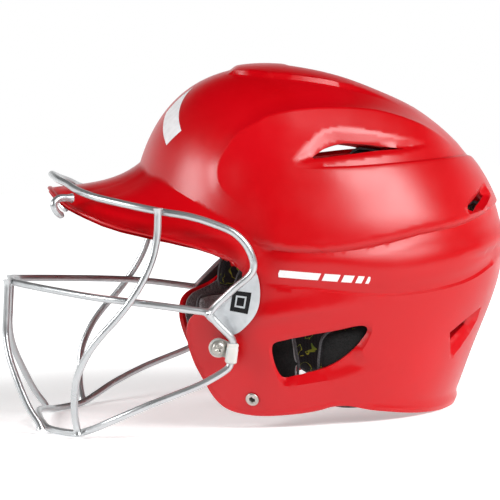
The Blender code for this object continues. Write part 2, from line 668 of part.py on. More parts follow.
def add_screw_set(prefix, right):
    """Screw, washer and nut of one side."""
    side = -1.0 if right else 1.0
    place = ((0.0, *SCREW), (side, 0.0, 0.0), STEEL)
    nut = map_to_space(side_to_map([SCREW]))[0, 0] - WALL - NUT_GAP
    washer = CLIP_TOP_X + PLAY
    head = washer + WASHER_T + PLAY
    tip = nut - NUT_LENGTH - 1.0
    ring_profile = [
        (washer, WASHER_BORE_R), (washer, WASHER_R), (washer + WASHER_T, WASHER_R),
        (washer + WASHER_T, WASHER_BORE_R),
    ]
    screw_profile = [
        (tip, SHANK_R - 0.5), (tip + 0.6, SHANK_R), (head, SHANK_R), (head, SCREW_HEAD_R),
        (head + 0.9, SCREW_HEAD_R - 0.1), (head + 1.7, SCREW_HEAD_R - 1.2),
        (head + SCREW_HEAD_H, SCREW_HEAD_R - 2.8),
    ]
    bore = SHANK_R + PLAY
    nut_profile = [
        (nut - NUT_LENGTH, bore), (nut - NUT_LENGTH, NUT_BARREL_R), (nut - NUT_FLANGE_T, NUT_BARREL_R),
        (nut - NUT_FLANGE_T, NUT_FLANGE_R), (nut, NUT_FLANGE_R), (nut, bore),
    ]
    add_lathe(f"{prefix}_washer", ring_profile, *place, closed=True)
    add_lathe(f"{prefix}_screw", screw_profile, *place)
    add_lathe(f"{prefix}_t_nut", nut_profile, *place, closed=True)


def add_eyelet(prefix, right):
    """The chin-strap eyelet of one side."""
    side = -1.0 if right else 1.0
    q = side_to_map([EYELET])
    at, normal = map_to_space(q)[0] * [side, 1, 1], map_normals(q)[0] * [side, 1, 1]
    profile = [
        (-WALL - 0.8, EYELET_BORE_R), (-WALL - 0.8, 2.9), (PLAY, 2.9), (PLAY, EYELET_FLANGE_R),
        (1.0, EYELET_FLANGE_R - 0.4), (1.3, EYELET_FLANGE_R - 1.6), (0.9, EYELET_BORE_R),
    ]
    add_lathe(f"{prefix}_strap_eyelet", profile, at, normal, STEEL, closed=True)


RED = ((0.60, 0.004, 0.012), 0.42)
FOAM = ((0.02, 0.02, 0.022), 0.85)
FELT = ((0.20, 0.20, 0.21), 0.95)
SILVER = ((0.70, 0.71, 0.72), 0.32, 1.0)
NYLON = ((0.80, 0.80, 0.78), 0.45)
STEEL = ((0.62, 0.62, 0.60), 0.25, 1.0)


def build_pads():
    add_pad("front_pad", middle_patch(146, 121, 0.62, 4, 10), 11.0, FOAM)
    add_pad("crown_pad", middle_patch(108, 62, 0.30, 6, 6), 9.0, FOAM)
    add_pad("rear_pad", middle_patch(16, -28, 0.50, 6, 8), 11.0, FOAM)
    for prefix, right in (("left", False), ("right", True)):
        add_pad(f"{prefix}_temple_pad", side_patch(TEMPLE_CORNERS, 6, 4), 12.0, FOAM, right=right)
        add_pad(f"{prefix}_upper_pad", side_patch(UPPER_CORNERS, 5, 4), 9.0, FOAM, right=right)
        add_pad(f"{prefix}_side_pad", side_patch(SIDE_CORNERS, 7, 4), 9.0, FOAM, right=right)
        add_pad(f"{prefix}_cheek_pad", side_patch(CHEEK_CORNERS, 5, 5), 9.0, FELT, CHEEK_GAP, right)
        add_pad(f"{prefix}_ear_pad", side_patch(EAR_CORNERS, 5, 5), 11.0, FOAM, right=right)


def build_guard():
    """The face guard and its clips, under an empty on the axis of the side screws."""
    pivot = bpy.data.objects.new("face_guard_axis", None)
    pivot.location = (0.0, SCREW[0] * MM, SCREW[1] * MM)
    bpy.context.scene.collection.objects.link(pivot)
    add_wire("top_bar", TOP_BAR, SILVER, pivot, symmetric=True)
    add_wire("eye_bar", EYE_BAR, SILVER, pivot, symmetric=True)
    add_wire("chin_bar", CHIN_BAR, SILVER, pivot, symmetric=True)
    for prefix, right in (("left", False), ("right", True)):
        turn = mirrored if right else np.array
        add_wire(f"{prefix}_centre_upright", turn(CENTRE_UPRIGHT), SILVER, pivot)
        add_wire(f"{prefix}_side_upright", turn(SIDE_UPRIGHT), SILVER, pivot)
        add_wire(f"{prefix}_brim_hook", turn(BRIM_HOOK), SILVER, pivot)
        add_plate(f"{prefix}_side_plate", SILVER, pivot, right)
        add_clip(f"{prefix}_wire_clip", NYLON, pivot, right)


def build():
    for old in list(bpy.data.objects):
        bpy.data.objects.remove(old)
    add_shell(RED)
    build_pads()
    build_guard()
    for prefix, right in (("left", False), ("right", True)):
        add_screw_set(prefix, right)
        add_eyelet(prefix, right)


build()
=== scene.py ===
import math

import bmesh
import bpy
import numpy as np
from mathutils import Matrix, Vector
from mathutils.geometry import delaunay_2d_cdt


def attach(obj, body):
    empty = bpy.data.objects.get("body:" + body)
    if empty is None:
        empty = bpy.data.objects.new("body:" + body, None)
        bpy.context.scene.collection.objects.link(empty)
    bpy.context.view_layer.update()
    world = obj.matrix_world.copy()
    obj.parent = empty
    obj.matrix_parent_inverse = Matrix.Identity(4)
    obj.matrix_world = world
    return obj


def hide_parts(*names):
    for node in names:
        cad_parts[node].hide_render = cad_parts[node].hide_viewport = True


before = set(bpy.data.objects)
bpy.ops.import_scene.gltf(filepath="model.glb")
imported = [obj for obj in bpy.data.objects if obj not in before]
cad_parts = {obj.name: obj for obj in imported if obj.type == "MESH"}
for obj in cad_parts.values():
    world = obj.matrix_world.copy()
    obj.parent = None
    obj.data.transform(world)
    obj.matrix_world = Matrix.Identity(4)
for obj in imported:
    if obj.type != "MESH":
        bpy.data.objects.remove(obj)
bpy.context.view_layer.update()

MM = 0.001

# ---------------------------------------------------------------- shell, in millimetres
WALL = 3.5
HALF_WIDTH = 110.0
CENTRE = np.array([42.6, 105.0])
MAP_RADIUS = 120.0
MESH_STEP = 2.3
EDGE_STEP = 2.0
SEARCH_REACH, SEARCH_STEPS = 140.0, 60

EGG = [
    (-72.3, 175.4), (-66.0, 190.0), (-57.6, 203.3), (-46.0, 217.5), (-30.0, 228.5), (-8.0, 234.0),
    (19.0, 235.0), (52.0, 230.5), (81.0, 221.0), (109.0, 207.0), (131.0, 191.0), (150.0, 171.5),
    (162.0, 152.0), (169.0, 134.0), (172.0, 113.0), (171.8, 92.0), (167.5, 78.0), (158.5, 58.7),
    (149.8, 38.9), (141.1, 21.0), (133.0, 0.0), (104.0, -40.0), (45.0, -66.0), (-25.0, -45.0),
    (-64.0, 5.0), (-81.0, 60.0), (-85.0, 110.0), (-81.5, 150.0),
]
EGG_HARMONICS = 7
EXPONENT_TOP, EXPONENT_LOW, EXPONENT_CROWN = 2.05, 2.65, 0.28

VALLEY_Z = 175.4
CREASE_X = [5.0, 11.0, 18.0, 27.0, 37.0]
CREASE_SIDE = [
    (-59.7, 162.8), (-50.5, 156.0), (-42.0, 150.2), (-33.0, 144.0), (-24.7, 138.6), (-15.0, 132.6),
    (-9.5, 124.0), (-9.5, 113.0),
]
BRIM_END = (-13.5, 103.0)
BRIM_TIP_Y = -137.0
BRIM_ROOT_Y = -10.0
BRIM_HALF_WIDTH = 102.5
BRIM_EDGE_Y = [-137.0, -132.0, -122.7, -113.4, -102.0, -90.0, -76.7, -61.0, -45.0, -33.0, -20.6, -13.5]
BRIM_EDGE_Z = [161.6, 156.0, 149.0, 144.0, 138.4, 134.0, 130.4, 126.2, 121.2, 116.5, 110.5, 103.0]
BRIM_COLUMNS, BRIM_ROWS = 96, 34

RIM = [
    (-14.5, 95.0), (-18.5, 88.5), (-27.0, 83.0), (-36.0, 80.0), (-43.0, 77.7), (-48.5, 72.5),
    (-50.4, 64.0), (-49.6, 55.0), (-46.5, 44.0), (-41.0, 32.0), (-34.5, 20.0), (-26.0, 12.5),
    (-10.5, 8.6), (11.6, 8.6), (31.0, 10.6), (40.0, 12.6), (50.0, 12.4), (60.0, 10.0), (75.0, 7.2),
    (94.0, 3.6), (112.0, 1.4), (125.0, 0.75),
]
EAR_HOLE = [
    (3.1, 55.6), (11.9, 58.3), (20.3, 59.6), (33.3, 61.4), (49.6, 63.4), (60.0, 64.6), (64.5, 61.7),
    (59.8, 54.3), (48.6, 44.0), (37.3, 38.3), (26.8, 35.7), (16.7, 33.8), (8.4, 33.6), (3.4, 44.4),
]
EAR_LIP = [
    (0.7, 52.1), (2.9, 56.9), (12.1, 59.9), (20.5, 61.1), (33.6, 62.9), (49.9, 64.9), (62.3, 66.1),
    (67.2, 62.8), (64.4, 55.1), (59.5, 47.6), (61.0, 43.8), (67.5, 42.0), (87.7, 40.9), (79.0, 36.9),
    (56.1, 33.9), (31.8, 29.9), (9.7, 28.2), (6.7, 30.9), (2.4, 42.0),
]
TOP_VENT = [
    (36.5, 173.2), (41.0, 177.5), (48.0, 181.2), (58.0, 183.0), (72.0, 181.6), (86.0, 179.0),
    (99.0, 175.6), (86.0, 176.0), (70.0, 175.2), (52.0, 174.0),
]
TOP_LIP = [
    (23.8, 171.6), (32.0, 180.0), (41.6, 187.8), (50.2, 190.3), (59.9, 189.9), (69.0, 188.6),
    (82.6, 185.9), (96.2, 182.4), (116.0, 176.8), (103.1, 173.6), (88.7, 172.8), (75.5, 172.0),
    (59.1, 170.8), (40.1, 169.6), (29.6, 169.4),
]
REAR_VENT = [(138.0, 134.6), (145.0, 139.0), (152.5, 144.6), (154.8, 140.6), (148.0, 135.4), (141.0, 131.0)]
REAR_LIP = [(134.6, 128.6), (137.4, 138.0), (145.6, 143.2), (153.4, 148.4), (158.6, 140.0), (148.6, 131.0)]
NAPE_VENT = [(124.1, 52.8), (134.5, 59.1), (144.5, 64.6), (138.8, 53.6), (125.0, 44.3)]
NAPE_LIP = [
    (121.6, 53.4), (134.8, 60.8), (147.8, 67.0), (145.0, 57.6), (139.0, 49.6), (131.0, 41.4),
    (122.6, 34.5),
]
SCREW = (-31.3, 55.5)
EYELET = (-11.0, 20.0)
SCREW_HOLE_R, EYELET_HOLE_R = 4.6, 3.5

LEDGE = [
    (-7.5, 124.0), (2.0, 119.5), (21.3, 115.8), (48.0, 114.6), (75.0, 117.0), (102.5, 121.8),
    (126.0, 124.2), (139.0, 127.0), (153.0, 131.0),
]
RIDGE = [
    (-9.0, 98.0), (6.8, 93.9), (33.0, 90.5), (60.0, 85.6), (80.6, 83.6), (102.0, 83.6), (125.0, 85.8),
    (140.0, 89.0), (156.0, 95.2),
]
SPEAR = [(-14.0, 70.5), (-4.0, 71.5), (19.6, 74.0), (46.0, 76.4), (67.0, 78.8)]
PANEL = [
    (-9.7, 144.9), (-17.4, 151.0), (-23.4, 157.6), (-24.8, 166.5), (-22.5, 174.8), (-18.9, 180.4),
    (-9.2, 190.6), (3.5, 196.4), (12.2, 199.8), (31.4, 202.1), (51.4, 202.0), (78.5, 199.2),
    (99.6, 193.0), (124.0, 182.0), (143.0, 169.0),
]
VENT_SILL = [
    (24.0, 166.6), (43.3, 165.7), (62.3, 165.2), (82.0, 165.4), (116.9, 166.3), (143.3, 166.9),
    (154.0, 165.6),
]
REAR_BUMP = [(128.0, 102.0), (138.5, 102.6), (148.7, 103.9), (159.0, 106.6), (167.0, 109.0)]
CREST_Y = [-24.0, -16.0, -9.0, 0.0, 15.0, 36.0, 60.0, 90.0]
CREST_X = [27.0, 24.0, 25.5, 34.5, 43.0, 45.0, 44.0, 40.0]
GROOVE_Y = [30.0, 50.0, 70.0, 90.0, 112.0]
GROOVE_X = [18.0, 23.0, 24.5, 24.0, 16.0]
CREST_HEIGHT, CREST_FLANK, GROOVE_DEPTH, GROOVE_FLANK = 2.4, 2.2, 3.2, 2.6
RIM_BEAD, BRIM_BEAD = 0.7, 0.9
# depth at the opening, steepest slope towards it, and how much of the fall is at the lip (1: even)
RECESSES = [(3.4, 0.9, 2.2), (6.5, 0.42, 1.0), (4.0, 0.9, 1.5), (5.0, 1.0, 1.5)]

# ---------------------------------------------------------------- face guard and hardware, in millimetres
WIRE_R = 2.38
WIRE_SIDES = 24
WIRE_STEP = 1.6
WELD_SWELL, WELD_RUN = 0.9, 2.6
TOP_BAR = [
    (0.0, -133.5, 170.6), (12.0, -132.0, 169.6), (26.0, -128.5, 167.2), (39.0, -122.0, 163.9),
    (51.0, -117.0, 160.6), (64.0, -109.5, 157.2), (75.0, -100.0, 154.0), (90.0, -80.5, 148.8),
    (99.0, -62.6, 144.4), (104.5, -44.6, 140.4), (108.5, -29.0, 134.6), (111.0, -16.8, 128.0),
    (112.4, -8.8, 117.1), (112.0, -7.4, 104.2), (109.0, -20.0, 93.2), (105.6, -31.0, 83.6),
]
EYE_BAR = [
    (0.0, -165.4, 100.8), (10.0, -165.0, 100.6), (21.0, -161.5, 99.5), (40.0, -147.9, 97.3),
    (60.0, -130.9, 94.7), (83.0, -109.0, 91.4), (98.0, -84.8, 88.0), (103.0, -67.0, 85.0),
    (104.6, -48.4, 81.4), (105.0, -38.6, 79.4),
]
CHIN_BAR = [
    (0.0, -153.0, 8.2), (12.0, -152.4, 7.9), (30.0, -149.5, 5.8), (46.0, -144.5, 3.2),
    (62.0, -133.0, 2.2), (72.0, -124.0, 2.7), (84.0, -114.5, 6.4), (96.0, -100.0, 13.2),
    (103.0, -77.0, 22.4), (105.0, -47.8, 32.0), (104.6, -36.0, 37.0), (104.2, -28.4, 41.0),
    (104.0, -25.2, 43.6), (104.0, -24.2, 46.8), (104.0, -23.2, 52.0), (104.0, -22.2, 57.4),
    (104.2, -22.4, 60.8), (104.6, -25.0, 64.4), (105.2, -31.4, 71.8),
]
CENTRE_UPRIGHT = [
    (20.6, -166.9, 101.8), (20.6, -167.5, 94.0), (20.8, -169.0, 80.0), (22.0, -170.3, 65.0),
    (28.0, -168.5, 50.3), (36.8, -163.0, 33.0), (43.8, -156.8, 17.5), (47.8, -150.8, 7.4),
    (48.5, -149.6, 3.2),
]
SIDE_UPRIGHT = [
    (103.8, -64.6, 147.0), (103.4, -65.0, 140.0), (102.6, -66.0, 130.0), (102.4, -68.8, 118.5),
    (103.0, -73.1, 108.2), (103.6, -78.0, 99.6), (104.0, -85.2, 89.5), (102.6, -94.6, 78.6),
    (101.0, -105.9, 67.4), (97.5, -114.8, 56.3), (92.3, -122.2, 41.8), (87.6, -124.9, 28.5),
    (83.8, -125.6, 16.4), (81.4, -124.9, 7.5), (81.0, -124.5, 3.2),
]
# where the long bars of one side are welded together
WELD_CORNER = (105.6, -36.4, 78.4)
BRIM_HOOK = [
    (52.6, -119.6, 155.0), (57.4, -126.8, 155.6), (60.2, -130.8, 153.2), (60.6, -131.2, 149.8),
    (58.6, -129.2, 146.0), (55.4, -126.2, 143.6),
]
PLATE_OFFSET, PLATE_THICKNESS, PLATE_BEAD = 2.2, 1.2, 0.5
PLATE = [
    (-34.0, 80.5), (-21.0, 92.0), (-9.0, 102.0), (-4.6, 103.4), (-2.6, 92.1), (-4.4, 79.8), (-10.2, 70.8),
    (-19.6, 63.8), (-28.0, 68.0), (-36.0, 75.0),
]
CLIP_BORE_R, CLIP_SLEEVE_R, CLIP_BOSS_R = 2.85, 3.7, 6.2
CLIP_BASE_X, CLIP_TOP_X = 97.8, 100.6
CLIP_SLEEVE_Z = (45.0, 59.0)
CLIP_SQUARENESS, CLIP_SIDES = 3.4, 40
CLIP_WEB = [(-29.0, 61.2), (-23.4, 58.4), (-21.6, 56.0), (-22.6, 50.0), (-24.8, 47.8), (-29.5, 50.0)]
SHANK_R, SCREW_HEAD_R, SCREW_HEAD_H = 2.1, 4.1, 2.2
WASHER_R, WASHER_BORE_R, WASHER_T = 5.0, 2.6, 0.8
NUT_FLANGE_R, NUT_BARREL_R, NUT_FLANGE_T, NUT_LENGTH, NUT_GAP = 6.2, 3.4, 1.2, 3.2, 5.4
EYELET_FLANGE_R, EYELET_BORE_R = 4.6, 1.9
PLAY = 0.35
LATHE_SIDES = 48

# ---------------------------------------------------------------- pads, in millimetres
PAD_GAP, CHEEK_GAP = 1.6, 10.0
LINING_GAP, LINING_THICKNESS = 0.3, 0.8
PIPING_R, PIPING_SIDES = 0.95, 10
FLAP_LINING = [
    (-15.0, 90.0), (-18.0, 86.5), (-27.0, 81.2), (-35.6, 78.2), (-42.0, 75.9), (-46.6, 71.4), (-48.4, 64.0),
    (-47.6, 55.2), (-44.6, 44.6), (-39.2, 33.0), (-33.0, 22.0), (-31.0, 30.0), (-38.6, 44.0), (-39.8, 56.0),
    (-35.0, 66.0), (-24.0, 69.5), (-12.0, 74.0), (-8.0, 84.0),
]
TEMPLE_CORNERS = [(-24.0, 124.0), (46.0, 124.0), (46.0, 166.0), (-12.0, 162.0)]
SIDE_CORNERS = [(-31.0, 75.5), (58.0, 77.0), (54.0, 119.0), (-14.0, 119.0)]
CHEEK_CORNERS = [(-44.0, 24.0), (21.0, 8.0), (21.0, 69.0), (-54.0, 76.0)]
EAR_CORNERS = [(30.0, 8.6), (96.0, 11.0), (98.0, 68.0), (31.0, 68.0)]
UPPER_CORNERS = [(81.0, 138.0), (128.0, 138.0), (119.0, 176.0), (82.0, 184.0)]

# ---------------------------------------------------------------- printed marks, in millimetres
PRINT_LIFT = 0.16
CHEVRON_BAR = [(15.0, 224.0), (53.0, 195.0), (47.0, 186.0), (15.0, 208.0)]
STRIPE_LINE = [(9.0, 101.2), (38.0, 97.2), (67.0, 93.4)]
STRIPE_HALF_HEIGHT, STRIPE_SLANT = 2.3, 1.1
STRIPE_RUNS = [(0.0, 26.0), (28.4, 38.4), (40.8, 47.4), (49.8, 53.8), (56.2, 58.4)]
PLATE_MARK = (-14.6, 84.6)
PLATE_MARK_RADII = [(0.0, 3.4), (4.9, 8.6)]
PLATE_MARK_LIFT = 0.12


# ---------------------------------------------------------------- shell geometry
def egg_terms(angle):
    """The harmonics of the egg's outline, one row for each angle."""
    terms = [np.ones_like(angle)]
    for k in range(1, EGG_HARMONICS + 1):
        terms += [np.cos(k * angle), np.sin(k * angle)]
    return np.stack(terms, axis=-1)


def fitted_egg():
    """The outline's radius as a short series, fitted to the side-view points."""
    points = np.array(EGG) - CENTRE
    angle = np.arctan2(points[:, 1], points[:, 0])
    return np.linalg.lstsq(egg_terms(angle), np.hypot(points[:, 0], points[:, 1]), rcond=None)[0]


EGG_SERIES = fitted_egg()


def egg_radius(angle):
    return egg_terms(angle) @ EGG_SERIES


def fullness(angle):
    """How square the egg's cross-section is in each direction: fuller low down and at the crown."""
    low = 0.5 - 0.5 * np.sin(angle)
    crown = EXPONENT_CROWN * np.maximum(np.sin(angle), 0) ** 3
    return EXPONENT_TOP + (EXPONENT_LOW - EXPONENT_TOP) * low + crown


def map_to_space(q):
    """Points of the shell's map (n, 2) to points in space (n, 3); the map's rim is X = 0."""
    angle = np.arctan2(q[:, 1], q[:, 0])
    turn = np.hypot(q[:, 0], q[:, 1]) / MAP_RADIUS
    share = np.sin(turn)
    x = HALF_WIDTH * np.sqrt(np.maximum(1 - share ** fullness(angle), 0)) * np.sign(np.cos(turn) + 1e-12)
    x[np.abs(turn - math.pi / 2) < 1e-6] = 0
    reach = share * egg_radius(angle)
    return np.stack([x, CENTRE[0] + reach * np.cos(angle), CENTRE[1] + reach * np.sin(angle)], axis=1)


def side_to_map(yz):
    """Side-view points (n, 2) on the shell to points of the map."""
    d = np.atleast_2d(np.array(yz, float)) - CENTRE
    angle = np.arctan2(d[:, 1], d[:, 0])
    turn = np.arcsin(np.minimum(np.hypot(d[:, 0], d[:, 1]) / egg_radius(angle), 1))
    return MAP_RADIUS * turn[:, None] * np.stack([np.cos(angle), np.sin(angle)], axis=1)


def map_normals(q):
    """Outward normals of the egg at points of the map."""
    step = 0.05
    along = map_to_space(q + [step, 0]) - map_to_space(q - [step, 0])
    across = map_to_space(q + [0, step]) - map_to_space(q - [0, step])
    normal = np.cross(along, across)
    return normal / np.linalg.norm(normal, axis=1, keepdims=True)


def smooth_path(points, step):
    """A Catmull-Rom curve through the points, resampled at about one step."""
    p = np.array(points, float)
    p = np.vstack([2 * p[0] - p[1], p, 2 * p[-1] - p[-2]])
    t = np.linspace(0, 1, 12, endpoint=False)[:, None]
    fine = []
    for a, b, c, d in zip(p, p[1:], p[2:], p[3:]):
        bend, twist = 2 * a - 5 * b + 4 * c - d, 3 * b - a - 3 * c + d
        fine.append(0.5 * (2 * b + (c - a) * t + bend * t**2 + twist * t**3))
    return resampled(np.vstack([*fine, p[-2:-1]]), step)


def run_lengths(path):
    """How far along the polyline each of its points lies."""
    return np.concatenate([[0], np.cumsum(np.linalg.norm(np.diff(path, axis=0), axis=1))])


def resampled(path, step):
    """The same polyline at even spacing, ends kept."""
    length = run_lengths(path)
    count = max(2, round(length[-1] / step) + 1)
    at = np.linspace(0, length[-1], count)
    return np.stack([np.interp(at, length, path[:, k]) for k in range(path.shape[1])], axis=1)


def closed_path(points, step):
    """A smooth closed loop through the points, without the repeated last point."""
    p = list(points)
    padded = smooth_path([p[-2], p[-1], *p, p[0], p[1]], 0.5)
    start = np.argmin(np.linalg.norm(padded[: len(padded) // 2] - p[0], axis=1))
    half = len(padded) // 2
    end = half + np.argmin(np.linalg.norm(padded[half:] - p[0], axis=1))
    return resampled(padded[start : end + 1], step)[:-1]


def narrower_than(x, y, z):
    """True where the egg is less than x wide from the middle at the side-view point (y, z)."""
    angle = math.atan2(z - CENTRE[1], y - CENTRE[0])
    share = math.hypot(z - CENTRE[1], y - CENTRE[0]) / egg_radius(np.array([angle]))[0]
    return share > 1 or 1 - share ** fullness(angle) < (x / HALF_WIDTH) ** 2


def forehead_point(x, z):
    """Side-view point where the egg's front is x from the middle at height z."""
    low, high = CENTRE[0] - SEARCH_REACH, CENTRE[0]
    for _ in range(SEARCH_STEPS):
        middle = (low + high) / 2
        low, high = (middle, high) if narrower_than(x, middle, z) else (low, middle)
    return (low + high) / 2, z


def crease_path():
    """The crease from the middle of the forehead to the brim's end, in the map."""
    fall = (VALLEY_Z - CREASE_SIDE[0][1]) / 48.0**1.75
    front = [forehead_point(x, VALLEY_Z - fall * x**1.75) for x in CREASE_X]
    start = np.array(forehead_point(0.0, VALLEY_Z)) - CENTRE
    first = start / np.hypot(*start) * MAP_RADIUS * math.pi / 2
    rest = side_to_map(front + CREASE_SIDE + [BRIM_END])
    path = smooth_path(np.vstack([first, rest]), 1.0)
    length = np.linalg.norm(np.diff(path, axis=0), axis=1).sum()
    path = resampled(path, length / BRIM_COLUMNS)
    path[0] = first
    return path


def middle_arc(first, last):
    """The map's rim from the valley over the crown to the nape."""
    start, end = math.atan2(first[1], first[0]), math.atan2(last[1], last[0])
    count = round((start - end) * MAP_RADIUS * 1.3 / EDGE_STEP)
    angle = np.linspace(start, end, count + 1)
    return MAP_RADIUS * math.pi / 2 * np.stack([np.cos(angle), np.sin(angle)], axis=1)


def nape_point():
    """Where the shell's rim meets the plane of symmetry at the back."""
    d = np.array(RIM[-1]) - CENTRE + [8.0, 0.0]
    return d / np.hypot(*d) * MAP_RADIUS * math.pi / 2


def rim_path():
    return smooth_path(np.vstack([side_to_map([BRIM_END] + RIM), nape_point()]), EDGE_STEP)


def ring(centre, radius, count):
    """A round hole in the side view, as points of the map."""
    turn = np.arange(count) * 2 * math.pi / count
    return side_to_map(np.array(centre) + radius * np.stack([np.cos(turn), np.sin(turn)], axis=1))


def hole_outlines():
    """The openings of one side: ear, top vent, rear vent, nape vent, screw and eyelet."""
    loops = [closed_path(side_to_map(outline), 1.6) for outline in (EAR_HOLE, TOP_VENT)]
    loops += [resampled_loop(side_to_map(outline), 1.6) for outline in (REAR_VENT, NAPE_VENT)]
    return [*loops, ring(SCREW, SCREW_HOLE_R, 24), ring(EYELET, EYELET_HOLE_R, 20)]


def resampled_loop(corners, step):
    """A loop of straight runs between corners, at about one step."""
    runs = []
    for a, b in zip(corners, np.roll(corners, -1, axis=0)):
        runs.append(resampled(np.vstack([a, b]), step)[:-1])
    return np.vstack(runs)


def offset_line(points, distance):
    """A side-view line moved square to itself, upwards when the distance is positive."""
    line = smooth_path(points, 3.0)
    tangent = np.gradient(line, axis=0)
    tangent /= np.linalg.norm(tangent, axis=1, keepdims=True)
    return line + distance * np.stack([-tangent[:, 1], tangent[:, 0]], axis=1)


def inside_egg(line):
    d = line - CENTRE
    angle = np.arctan2(d[:, 1], d[:, 0])
    return line[np.hypot(d[:, 0], d[:, 1]) < 0.995 * egg_radius(angle)]


def feature_lines():
    """Lines across which the surface turns sharply, kept as edges of the mesh."""
    lines = []
    for points, offsets in (
        (LEDGE, (0.9, 0.0, -1.1, -2.0)),
        (RIDGE, (0.9, 0.0, -0.7, -1.4)),
        (SPEAR, (1.2, 0.0, -1.6)),
        (PANEL, (0.7, 0.0, -1.0, -2.6)),
        (VENT_SILL, (1.4, 0.0, -0.8)),
    ):
        for distance in offsets:
            line = inside_egg(offset_line(points, distance))
            lines.append(resampled(side_to_map(line), EDGE_STEP))
    return lines


def crown_point(x, y):
    """Side-view point where the egg's top is x from the middle at a distance y back."""
    low, high = CENTRE[1], CENTRE[1] + SEARCH_REACH
    for _ in range(SEARCH_STEPS):
        middle = (low + high) / 2
        low, high = (low, middle) if narrower_than(x, y, middle) else (middle, high)
    return y, (low + high) / 2


def crown_lines():
    """Edges of the crest's flank and of the groove behind it."""
    lines = []
    crest, groove = (0.0, CREST_FLANK), (0.0, GROOVE_FLANK / 2, GROOVE_FLANK)
    for reach, width, offsets in ((CREST_Y, CREST_X, crest), (GROOVE_Y, GROOVE_X, groove)):
        for offset in offsets:
            line = [crown_point(x - offset, y) for x, y in zip(width, reach)]
            lines.append(smooth_path(side_to_map(line), EDGE_STEP))
    return lines


def bead_lines(rim):
    """Edges along the rolled bead of the face opening and the ear flap."""
    tangent = np.gradient(rim, axis=0)
    tangent /= np.linalg.norm(tangent, axis=1, keepdims=True)
    inward = np.stack([-tangent[:, 1], tangent[:, 0]], axis=1)
    middle = rim.mean(axis=0)
    inward *= np.sign(((middle - rim) * inward).sum())
    return [(rim + inward * distance)[6:-8] for distance in (RIM_BEAD, 1.5, 2.2, 2.9)]


def lip_loops():
    """The outer edges of the recesses round the four larger openings."""
    return [closed_path(side_to_map(lip), 1.8) for lip in (EAR_LIP, TOP_LIP)] + [
        resampled_loop(side_to_map(lip), 1.8) for lip in (REAR_LIP, NAPE_LIP)
    ]


def distance_to(points, line):
    """Distance of each point to a polyline, its side (positive: above) and its share of the way along."""
    best = np.full(len(points), 1e9)
    side = np.zeros(len(points))
    along = np.zeros(len(points))
    run = 0.0
    for a, b in zip(line, line[1:]):
        ab = b - a
        t = np.clip(((points - a) @ ab) / (ab @ ab), 0, 1)
        off = points - (a + t[:, None] * ab)
        d = np.hypot(off[:, 0], off[:, 1])
        near = d < best
        best[near] = d[near]
        side[near] = np.sign(ab[0] * off[near, 1] - ab[1] * off[near, 0])
        along[near] = run + t[near] * math.hypot(*ab)
        run += math.hypot(*ab)
    return best, side, along / run


def smooth(t):
    t = np.clip(t, 0, 1)
    return t * t * (3 - 2 * t)


def loop_distance(points, loop):
    return distance_to(points, np.vstack([loop, loop[:1]]))[0]


def inside_polygon(points, polygon):
    inside = np.zeros(len(points), bool)
    for (x0, y0), (x1, y1) in zip(polygon, np.roll(polygon, -1, axis=0)):
        crosses = (y0 > points[:, 1]) != (y1 > points[:, 1])
        with np.errstate(divide="ignore", invalid="ignore"):
            at = x0 + (points[:, 1] - y0) * (x1 - x0) / (y1 - y0)
        inside ^= crosses & (points[:, 0] < at)
    return inside


def ledge_rise(yz):
    """The body's main fold: full above the line, tucked in under it."""
    d, side, _ = distance_to(yz, smooth_path(LEDGE, 4.0))
    ends = smooth((yz[:, 0] + 9) / 22)
    above = smooth(1 - d / 42) * (1 - 0.30 * smooth(1 - d / 2.2))
    below = np.where(d < 2.0, 0.75 * smooth(1 - d / 2.0), 0) - 0.25 * smooth(1 - np.abs(d - 2.0) / 5)
    return 2.6 * ends * np.where(side > 0, above, below)


def ridge_rise(yz):
    """The lower fold: a tuck above the line and a thin proud edge below it."""
    d, side, _ = distance_to(yz, smooth_path(RIDGE, 4.0))
    ends = smooth((yz[:, 0] + 2) / 26)
    above = 2.2 * smooth(1 - np.abs(d - 17) / 16) - 1.2 * smooth(1 - d / 9)
    below = np.where(d < 1.4, -1.2 + 1.5 * smooth(d / 1.4), 0.3 * smooth(1 - (d - 1.4) / 26))
    return ends * np.where(side > 0, above, below)


def spear_rise(yz):
    """The pointed ridge that runs back from the flap's front, above the ear opening."""
    d, side, _ = distance_to(yz, smooth_path(SPEAR, 4.0))
    ends = smooth((yz[:, 0] + 16) / 18) * smooth((74 - yz[:, 0]) / 45)
    above = smooth(1 - d / 13) * (1 - 0.25 * smooth(1 - d / 2))
    return 2.0 * ends * np.where(side > 0, above, 0.75 * smooth(1 - d / 3.2))


def panel_rise(yz):
    """The crease round the teardrop panel of the side: proud along the line, falling away on both sides."""
    d, side, along = distance_to(yz, smooth_path(PANEL, 4.0))
    top = smooth((along - 0.18) / 0.25)
    ends = smooth(along / 0.10) * smooth((1 - along) / 0.20)
    inside = np.clip(1 - d / (10.0 + 9.0 * top), 0, 1) ** 2
    outside = np.clip(1 - d / (7.0 + 5.0 * top), 0, 1) ** 2
    return (1.2 + 2.4 * top) * ends * np.where(side < 0, inside, outside)


def sill_rise(yz):
    """The edge under the top vent: proud below the line, falling inwards above it."""
    d, side, _ = distance_to(yz, smooth_path(VENT_SILL, 4.0))
    ends = smooth((yz[:, 0] - 22) / 30)
    below = 1.3 * smooth(1 - d / 30) * (1 - 0.2 * smooth(1 - d / 1.2))
    above = np.where(d < 1.4, 1.05 - 1.5 * smooth(d / 1.4), -0.45 * smooth(1 - (d - 1.4) / 8))
    return ends * np.where(side > 0, above, below)


